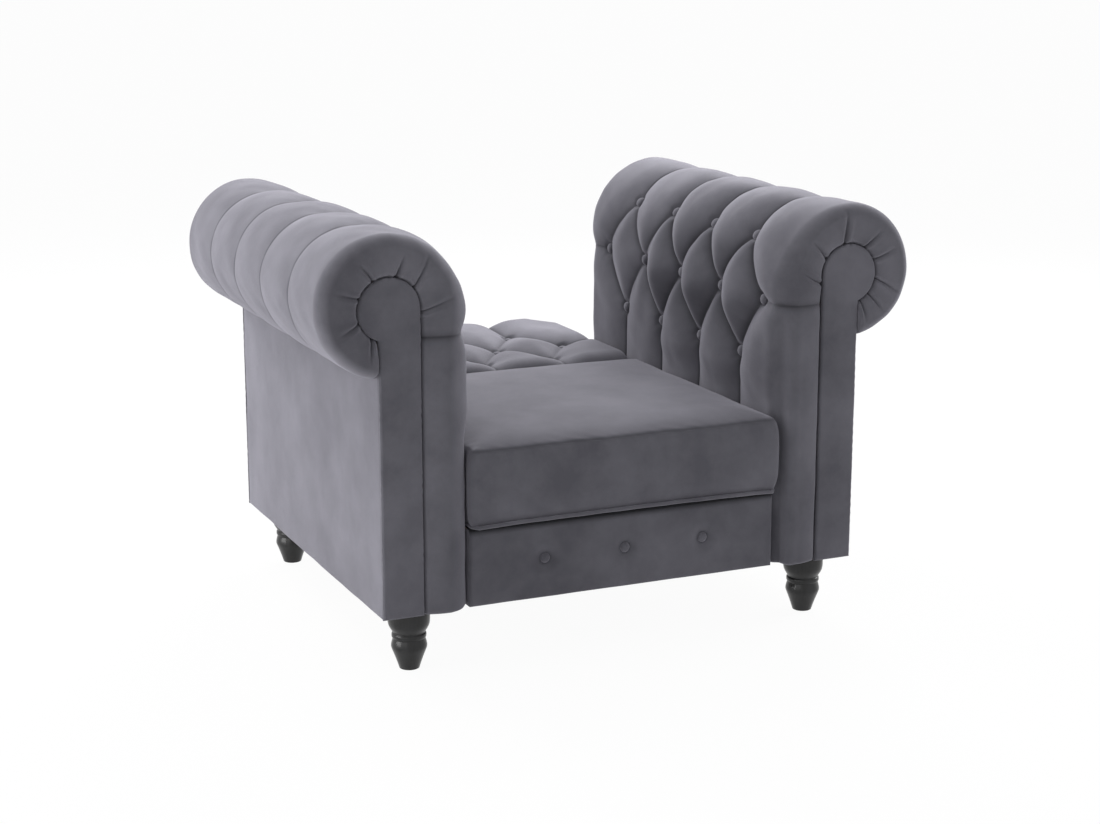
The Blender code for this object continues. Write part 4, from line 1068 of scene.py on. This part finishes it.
def blown_up(mesh, pinned, frames=20):
    """Where cloth simulation with air pressure takes the points of a closed mesh."""
    obj = bpy.data.objects.new("cushion_air", mesh)
    bpy.context.scene.collection.objects.link(obj)
    pin = obj.vertex_groups.new(name="seams")
    pin.add([int(k) for k in np.flatnonzero(pinned)], 1.0, "REPLACE")
    cloth = obj.modifiers.new("air", "CLOTH")
    cloth.settings.vertex_group_mass = "seams"
    cloth.settings.use_pressure = True
    cloth.settings.uniform_pressure_force = 4.0
    cloth.settings.effector_weights.gravity = 0.0
    cloth.settings.quality = 6
    cloth.point_cache.frame_end = frames
    for number in range(1, frames + 1):
        bpy.context.scene.frame_set(number)
    ready = obj.evaluated_get(bpy.context.evaluated_depsgraph_get())
    moved = np.array([v.co for v in ready.data.vertices])
    bpy.data.objects.remove(obj)
    bpy.context.scene.frame_set(1)
    return moved


# %% Shape of the cushion
CUSHION_SWELL = 0.008
CROWN = 0.016  # rise of the top from its seam
FRONT_SWELL = 0.0035
FRONT_BOW = 0.003
CHEEK = 0.011  # swell of the front corners towards the arms
FRONT_LIFT = 0.0035
PUCKER_SIZE = 0.0007
GROOVE = 0.0022
BACK_CLEAR = 0.0612  # radius of the room in which the back turns
# painted shade along the cushion's seams
CUSHION_SEAM_SHADE = 0.45


def seat_cushion():
    mesh = closed_mesh("cushion_cloth", *cushion_shape(), weld=True)
    flat = np.array([v.co for v in mesh.vertices])
    shape = [list(p.vertices) for p in mesh.polygons]
    low = flat.min(0)
    high = flat.max(0)
    middle = (low + high) / 2
    unit = (flat - middle) / ((high - low) / 2)
    unit_x, unit_y, unit_z = unit.T
    ends = np.abs(unit_z) > 0.999
    top = unit_z > 0.999
    from_side = high[0] - np.abs(flat[:, 0])
    inside = np.minimum(from_side, (high[1] - low[1]) / 2 - np.abs(flat[:, 1] - middle[1]))
    bowl = (1 - unit_x**2) * (1 - unit_y**2)
    seams = ends & (np.abs(unit[:, :2]).max(1) > 0.999)
    swell = blown_up(mesh, seams) - flat
    swell = swell / np.linalg.norm(swell, axis=1).max()
    print("cushion blown up:", np.abs(swell).max(0).round(2))
    bpy.data.meshes.remove(mesh)
    swell[:, 2] = np.where(unit_z < -0.999, 0, swell[:, 2])
    moved = flat + swell * CUSHION_SWELL

    moved[:, 2] += np.where(top, CROWN * (1 - np.exp(-inside / 0.034)) + 0.003 * bowl, 0)
    moved[:, 2] -= np.where(ends & ~top, 0.0065 * (1 - np.exp(-inside / 0.020)), 0)
    border = np.where(ends, 0, 1 - unit_z**4)
    front = smooth_step(-unit_y, 0.90, 1.0)
    moved[:, 1] -= border * front * (FRONT_SWELL + FRONT_BOW * (1 - unit_x**6))
    corner = smooth_step(-unit_y, 0.9, 0.99) * smooth_step(np.abs(unit_x), 0.8, 0.97)
    moved[:, 0] += np.sign(unit_x) * border * CHEEK * corner
    lift = FRONT_LIFT * (1 - unit_x**4) * smooth_step(-unit_y, 0.8, 1.0)
    moved[:, 2] += lift * np.clip(-unit_z, 0, 1)

    seam = np.abs(flat[:, 2] - high[2]) + np.where(top, np.maximum(inside, 0), 0)
    seam = np.minimum(seam, 1)
    wave = np.sin(190 * (flat[:, 0] + 1.3 * flat[:, 1]) + 3 * np.sin(31 * flat[:, 0]))
    pucker = PUCKER_SIZE * wave * np.exp(-seam / 0.014)
    moved[:, 2] += np.where(top, pucker, 0)
    moved[:, 1] += np.where(ends, 0, pucker * front)

    room = FACE_X - 0.0012 + np.maximum(rounded_over(moved[:, 1] - FRONT, EDGE) - 0.0015, 0)
    moved[:, 0] = np.clip(moved[:, 0], -room, room)
    circle = np.sqrt(np.clip(BACK_CLEAR**2 - (moved[:, 2] - AXIS.z) ** 2, 0, None))
    moved[:, 1] = np.minimum(moved[:, 1], np.minimum(AXIS.y - circle, SEAT_TOP.y + 0.008))
    across = -np.sign(unit_x) * (np.abs(unit_x) > 0.95)
    along = -np.sign(unit_y) * (np.abs(unit_y) > 0.95)
    inwards = points_at(across, along, -1.0) * 0.7
    moved += (GROOVE * hump(seam, 0.0024))[:, None] * inwards
    # the last value is painted shade, darker along the seams
    return moved, shape, unit, CUSHION_SEAM_SHADE * hump(seam, 0.0030)


# %% Cushion
cushion_points, cushion_faces, cushion_unit, cushion_seam_shade = seat_cushion()
uneven = wobble(cushion_points, 0.0010, 0.17, 5.0)
cushion_points = cushion_points + uneven[:, None] * np.array([0, 0.4, 1.0])
cushion = piece("seat_cushion_cover", cushion_points, cushion_faces,
                replaced=("seat_cushion",), fold=cushion_seam_shade)
finer = cushion.modifiers.new("finer", "SUBSURF")
finer.levels = 1
finer.render_levels = 1
print("cushion:", len(cushion_points), "points, top at", round(float(cushion_points[:, 2].max()), 3))

# %% [markdown]
# Piping is a cord in a strip of the same velvet, sewn into the seam at the bottom edge. It follows the
# outline of the cushion, so it is a round tube along that line.

# %% Piping of the cushion
PIPING_RADIUS = 0.0034
PIPING_SINK = 0.0008
PIPING_FORWARD = 0.0062  # how far it stands out along the front


def tube(name, line, radius, steps=10, **more):
    """A round tube along a level line that ends where it starts."""
    along = np.roll(line, -1, 0) - np.roll(line, 1, 0)
    along /= np.linalg.norm(along, axis=1)[:, None]
    up = np.array([0, 0, 1.0])
    side = np.cross(along, up)
    side /= np.linalg.norm(side, axis=1)[:, None]
    angle = np.linspace(0, 2 * math.pi, steps, endpoint=False)[:, None]
    rings = line[:, None] + radius * (np.cos(angle) * side[:, None] + np.sin(angle) * up)
    return piece(name, rings, ring_wall(len(line), steps, joined=True), **more)


bottom = np.abs(cushion_unit[:, 2] + 1) < 1e-3
outermost = np.abs(cushion_unit[:, :2]).max(1) > 0.999
piping_line = cushion_points[bottom & outermost]
spoke_angle = np.arctan2(piping_line[:, 1] - piping_line[:, 1].mean(), piping_line[:, 0])
piping_line = piping_line[np.argsort(spoke_angle)] - np.array([0, 0, PIPING_SINK])
piping_line[:, 1] -= PIPING_FORWARD * smooth_step(-piping_line[:, 1], 0.545, 0.553)
tube("cushion_piping", piping_line, PIPING_RADIUS, replaced=("seat_piping",))
print("piping:", len(piping_line), "points")

# %% [markdown]
# ## The folding back
# The back is buttoned like the arms and rides on the body that turns about the hinge. Its padding starts
# in front of the hinge, runs along the face and turns over the far end. The slices run along the same
# rounded line as the CAD pad, so nothing sticks out of the circle in which it turns. Its buttons lie
# deep, so only pits show from the front, and the pits, creases and hollows are darkened with painted
# shade.

# %% Line and buttoning of the back
BACK_ROUND = 0.060
BACK_LENGTH = 0.454
BACK_FLAT = BACK_LENGTH - BACK_ROUND
BACK_FOAM = 0.034
WRAP_FOAM = 0.012  # thickness of the padding in front of the hinge
BACK_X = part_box("back_pad")[1].x
WRAP_START = math.radians(170)
WRAP_LENGTH = BACK_ROUND * (WRAP_START - QUARTER)
TUCK_END = math.radians(-70)
BACK_ROWS = [WRAP_LENGTH + 0.038 + 0.125 * k for k in range(3)]
BACK_PULL = 0.021


def back_lines():
    share = np.linspace(0, 1, 40)
    wrap = WRAP_START + (QUARTER - WRAP_START) * share
    tuck = QUARTER + (TUCK_END - QUARTER) * share
    inside = BACK_ROUND - BACK_FOAM
    low = BACK_ROUND * math.sin(TUCK_END)
    under_wrap = BACK_ROUND - WRAP_FOAM - (BACK_FOAM - WRAP_FOAM) * share
    crest = np.concatenate([polar(wrap, (0, 0), BACK_ROUND), polar(tuck, (BACK_FLAT, 0), BACK_ROUND)])
    under_tuck = points_at(BACK_FLAT, inside + (low - inside) * share)
    floor = np.concatenate([polar(wrap, (0, 0), 1.0) * under_wrap[:, None], under_tuck])
    return length_along(crest), crest, floor


BACK_LINES = back_lines()
BACK_END = BACK_LINES[0][-1]
back_buttoning = Buttoning(
    BACK_ROWS, (3, 4, 3), pitch=0.1575, middle=0.0,
    depth=BACK_PULL, mid_depth=0.020, arch=(0.005, 0.0), gather=0.0, soft=0.0024,
)
for button in back_buttoning.buttons[0]:
    back_buttoning.pleat(button, (0.0, button[1]), BACK_PULL, last=0.006, middle=0.014)
for button in back_buttoning.buttons[2]:
    back_buttoning.pleat(button, (BACK_END, button[1]), BACK_PULL, last=0.008, middle=0.017)
for button, sign in ((back_buttoning.buttons[1][0], -1), (back_buttoning.buttons[1][-1], 1)):
    back_buttoning.pleat(button, (button[0], sign * BACK_X), BACK_PULL, last=0.010, middle=0.014)
print("back:", round(BACK_END, 3), "m of cover,", len(back_buttoning.pleats), "pleats")

# %% Back pad
BACK_RIM = 0.075  # width of the graded columns at each side
SIDE_ROUNDING = 0.020
CORNER_ROUNDING = 0.045  # more of it at the far corners
CORNER_LENGTH = 0.065
PIT_SHADE = 0.90
BACK_CREASE_SHADE = 0.95
BACK_HOLLOW_SHADE = 0.25
BACK_BUTTON_SINK = 0.0005


def back_pad():
    along = np.linspace(0, BACK_END, 340)
    crest, inward, thick = on_pad(along, BACK_LINES)
    rim = BACK_RIM * np.linspace(0, 1, 26) ** 1.5
    columns = [button[1] for button in back_buttoning.buttons[0]]
    middle = graded(-BACK_X + BACK_RIM, BACK_X - BACK_RIM, 0.0020, columns)
    x = np.concatenate([-BACK_X + rim[:-1], middle[:-1], BACK_X - rim[::-1]])
    lengths, across = np.meshgrid(along, x, indexing="ij")
    corner = np.clip(1 - (WRAP_LENGTH + BACK_FLAT - along) / CORNER_LENGTH, 0, 1)[:, None]
    fall = rounded_over(BACK_X - np.abs(across), SIDE_ROUNDING + CORNER_ROUNDING * corner)
    drawn, crease = back_buttoning.at(lengths, across)
    uneven = wobble(points_at(across, crest[:, :1], crest[:, 1:]), 0.001, 0.12, 6.0)
    drawn = np.maximum(drawn + uneven, 0.0)
    depth = np.minimum(np.hypot(fall, drawn), thick[:, None] - 0.003)
    y = AXIS.y + crest[:, :1] + inward[:, :1] * depth
    z = AXIS.z + crest[:, 1:] + inward[:, 1:] * depth
    under = crest + inward * thick[:, None] + [AXIS.y, AXIS.z]
    ends = [points_at(sign * BACK_X, under[:, 0], under[:, 1]) for sign in (1, -1)]
    points = np.concatenate([points_at(across, y, z), np.stack(ends, 1)], 1)
    # painted shade: darker in the pits round the buttons, in the creases and in the hollows beside them
    pit = np.clip((drawn - 0.008) / 0.017, 0, 1) ** 2
    shade = PIT_SHADE * pit + BACK_CREASE_SHADE * crease + BACK_HOLLOW_SHADE * crease**0.09
    fold = np.concatenate([np.clip(shade, 0, 1), np.ones((len(along), 2))], 1)
    pad = lofted("back_cover", points, body="back", replaced=("back_pad",), fold=fold)


back_pad()
places = []
for spot, across, out in back_buttoning.spots(BACK_LINES, -BACK_BUTTON_SINK):
    places.append(((across, AXIS.y + spot[0], AXIS.z + spot[1]), (0, out[0], out[1])))
button_set("back_buttons", places, BUTTON_RADIUS, body="back")
print("back pad:", len(places), "buttons")

# %% [markdown]
# ## Feet
# The feet are turned on a lathe: a toe that widens to a bulb, a bead between two necks, and a bell under
# the arm. Turning is a spin of one profile, so the same is done here with a fine profile.

# %% Turned feet
FOOT_PROFILE = (  # radius, height
    (0.0176, 0.0), (0.0186, 0.0007), (0.0190, 0.0020), (0.0203, 0.0060), (0.0224, 0.0125),
    (0.0252, 0.0205), (0.0282, 0.0285), (0.0308, 0.0350), (0.0325, 0.0395), (0.0332, 0.0428),
    (0.0330, 0.0460), (0.0322, 0.0500), (0.0311, 0.0540), (0.0302, 0.0572), (0.0299, 0.0584),
    (0.0301, 0.0590), (0.0311, 0.0597), (0.0318, 0.0612), (0.0321, 0.0640), (0.0318, 0.0666),
    (0.0311, 0.0683), (0.0301, 0.0690), (0.0299, 0.0696), (0.0303, 0.0706), (0.0318, 0.0732),
    (0.0340, 0.0768), (0.0361, 0.0806), (0.0377, 0.0846), (0.0386, 0.0890), (0.0390, 0.0940),
    (0.0390, 0.1140), (0.0386, 0.1148), (0.0370, 0.1150),
)
FOOT_STEPS = 56
for end in ("front", "rear"):
    for side in SIDES:
        name = f"foot_{end}_{side}"
        low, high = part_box(name)
        centre = [(low.x + high.x) / 2, (low.y + high.y) / 2, 0]
        foot = spun(FOOT_PROFILE, FOOT_STEPS) + centre
        lofted(f"turned_{name}", foot, slot="black_wood", replaced=(name,))
print("feet: four, turned in", len(FOOT_PROFILE), "steps of profile")

# %% [markdown]
# ## Dust cloth
# Under the seat a thin black cloth keeps the dust in. It is cut to the size of the seat box, stapled
# along its edges and sags a little in the middle.

# %% Dust cloth under the seat
DUST_INSET = 0.003
DUST_SAG = 0.005
DUST_PULL = 0.0006  # waves between the staples
DUST_THICK = 0.0008


def dust_cover():
    low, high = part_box("seat_dust_cover")
    x = np.linspace(low.x + DUST_INSET, high.x - DUST_INSET, 40)
    y = np.linspace(low.y + DUST_INSET, high.y - DUST_INSET, 56)
    across, along = np.meshgrid(x, y, indexing="ij")
    unit_x = across / x[-1]
    unit_y = (along - y.mean()) / (y[-1] - y.mean())
    sag = DUST_SAG * (1 - unit_x**2) * (1 - unit_y**2)
    pulled = DUST_PULL * np.sin(along * 120) * smooth_step(np.abs(unit_x), 0.85, 1.0)
    upper = points_at(across, along, high.z - DUST_THICK / 2 - sag + pulled)
    lower = upper - [0, 0, DUST_THICK]
    points = np.concatenate([upper, lower[:, ::-1]], 1)
    cloth = lofted("dust_cloth_sheet", points, slot="dust_cloth", replaced=("seat_dust_cover",))


dust_cover()
print("dust cloth under the seat")

# %% [markdown]
# ## Floor, light and camera
# The photograph is a studio picture on white. The floor is pale and takes the chair's shadow, and what
# the camera sees of it is mixed with plain white, so that the ground fades into the background. Even
# light comes from all round. Large soft lamps at the left, behind the chair and at its right shape the
# sides, the rolls and the seat, and a weak one at the front left lifts the fronts.

# %% Floor and world
AMBIENT = 0.54
FLOOR_WHITE = 0.955  # share of plain white in what the camera sees of the floor
FLOOR_REACH = 40.0


def white_for_camera(kit, shader, white, share):
    """Shows white to the camera, to mirrors and through glass, and the shader to everything else."""
    path = kit.add("ShaderNodeLightPath").outputs
    seen = path["Is Camera Ray"]
    for ray in ("Is Glossy Ray", "Is Transmission Ray"):
        seen = kit.math("MAXIMUM", seen, path[ray])
    shown = kit.math("MULTIPLY", seen, share)
    return kit.add("ShaderNodeMixShader", {0: shown, 1: shader, 2: white}).outputs[0]


def studio_world():
    world = bpy.data.worlds.new("studio")
    world.use_nodes = True
    bpy.context.scene.world = world
    kit = Kit(world.node_tree)
    ambient = kit.tree.nodes["Background"]
    ambient.inputs["Color"].default_value = (0.97, 0.98, 1.0, 1.0)
    ambient.inputs["Strength"].default_value = AMBIENT
    white = kit.add("ShaderNodeBackground", {"Color": (1.0, 1.0, 1.0, 1.0), "Strength": 1.0})
    shown = white_for_camera(kit, ambient.outputs[0], white.outputs[0], 1.0)
    kit.feed(kit.tree.nodes["World Output"].inputs["Surface"], shown)


def studio_floor():
    mesh = bpy.data.meshes.new("floor")
    corners = [(x * FLOOR_REACH, y * FLOOR_REACH, 0) for x, y in ((-1, -1), (1, -1), (1, 1), (-1, 1))]
    mesh.from_pydata(corners, [], [(0, 1, 2, 3)])
    floor = bpy.data.objects.new("floor", mesh)
    bpy.context.scene.collection.objects.link(floor)
    pale = Finish("pale_floor")
    pale.set(Base_Color=(0.82, 0.82, 0.82, 1.0), Roughness=0.9)
    glow = pale.add("ShaderNodeEmission").outputs[0]
    shown = white_for_camera(pale, pale.surface.outputs[0], glow, FLOOR_WHITE)
    pale.feed(pale.tree.nodes["Material Output"].inputs["Surface"], shown)
    mesh.materials.append(pale.material)


studio_world()
studio_floor()
print("studio: pale floor on a white ground")

# %% Lamps
LAMPS = {  # place, what it points at, width and height, watts
    "left_low": ((-4.0, -0.2, 0.9), (0, -0.1, 0.5), (2.4, 1.4), 75.0),
    "left_high": ((-3.6, 0.2, 2.6), (0, 0, 0.5), (2.4, 1.6), 23.0),
    "rear_left": ((-1.3, 2.7, 3.0), (0, 0, 0.5), (2.4, 2.0), 98.0),
    "rear_right": ((1.8, 2.6, 2.6), (0, 0, 0.5), (2.0, 1.6), 112.0),
    "right": ((4.0, 0.4, 2.0), (0, 0, 0.5), (2.0, 1.6), 86.0),
    "front_left": ((-3.2, -2.8, 1.3), (0, 0, 0.4), (2.0, 1.6), 11.0),
}
for name, (place, target, size, power) in LAMPS.items():
    data = bpy.data.lights.new(name, "AREA")
    data.shape = "RECTANGLE"
    data.size, data.size_y = size
    data.energy = power
    obj = bpy.data.objects.new(name, data)
    obj.location = place
    obj.rotation_euler = (Vector(target) - Vector(place)).to_track_quat("-Z", "Y").to_euler()
    bpy.context.scene.collection.objects.link(obj)
print("lamps:", ", ".join(LAMPS))

# %% Camera
CAMERA_PLACE = (-1.6845, -3.9757, 1.3600)
CAMERA_TURN = math.radians(-23.92)
CAMERA_RISE = math.radians(13.361)
data = bpy.data.cameras.new("camera")
data.sensor_width = 36.0
data.lens = 69.94
data.shift_x = 0.00325
data.shift_y = -0.0008
camera = bpy.data.objects.new("camera", data)
bpy.context.scene.collection.objects.link(camera)
level = math.cos(CAMERA_RISE)
back = Vector((math.sin(CAMERA_TURN) * level, -math.cos(CAMERA_TURN) * level, math.sin(CAMERA_RISE)))
camera.location = CAMERA_PLACE
camera.rotation_euler = (-back).to_track_quat("-Z", "Y").to_euler()
bpy.context.scene.camera = camera
bpy.context.scene.view_settings.view_transform = "Standard"
print("camera: 70 mm lens, from the front left")

# %% [markdown]
# ## Finish
# The view layer is brought up to date.

# %% Finish
bpy.context.view_layer.update()
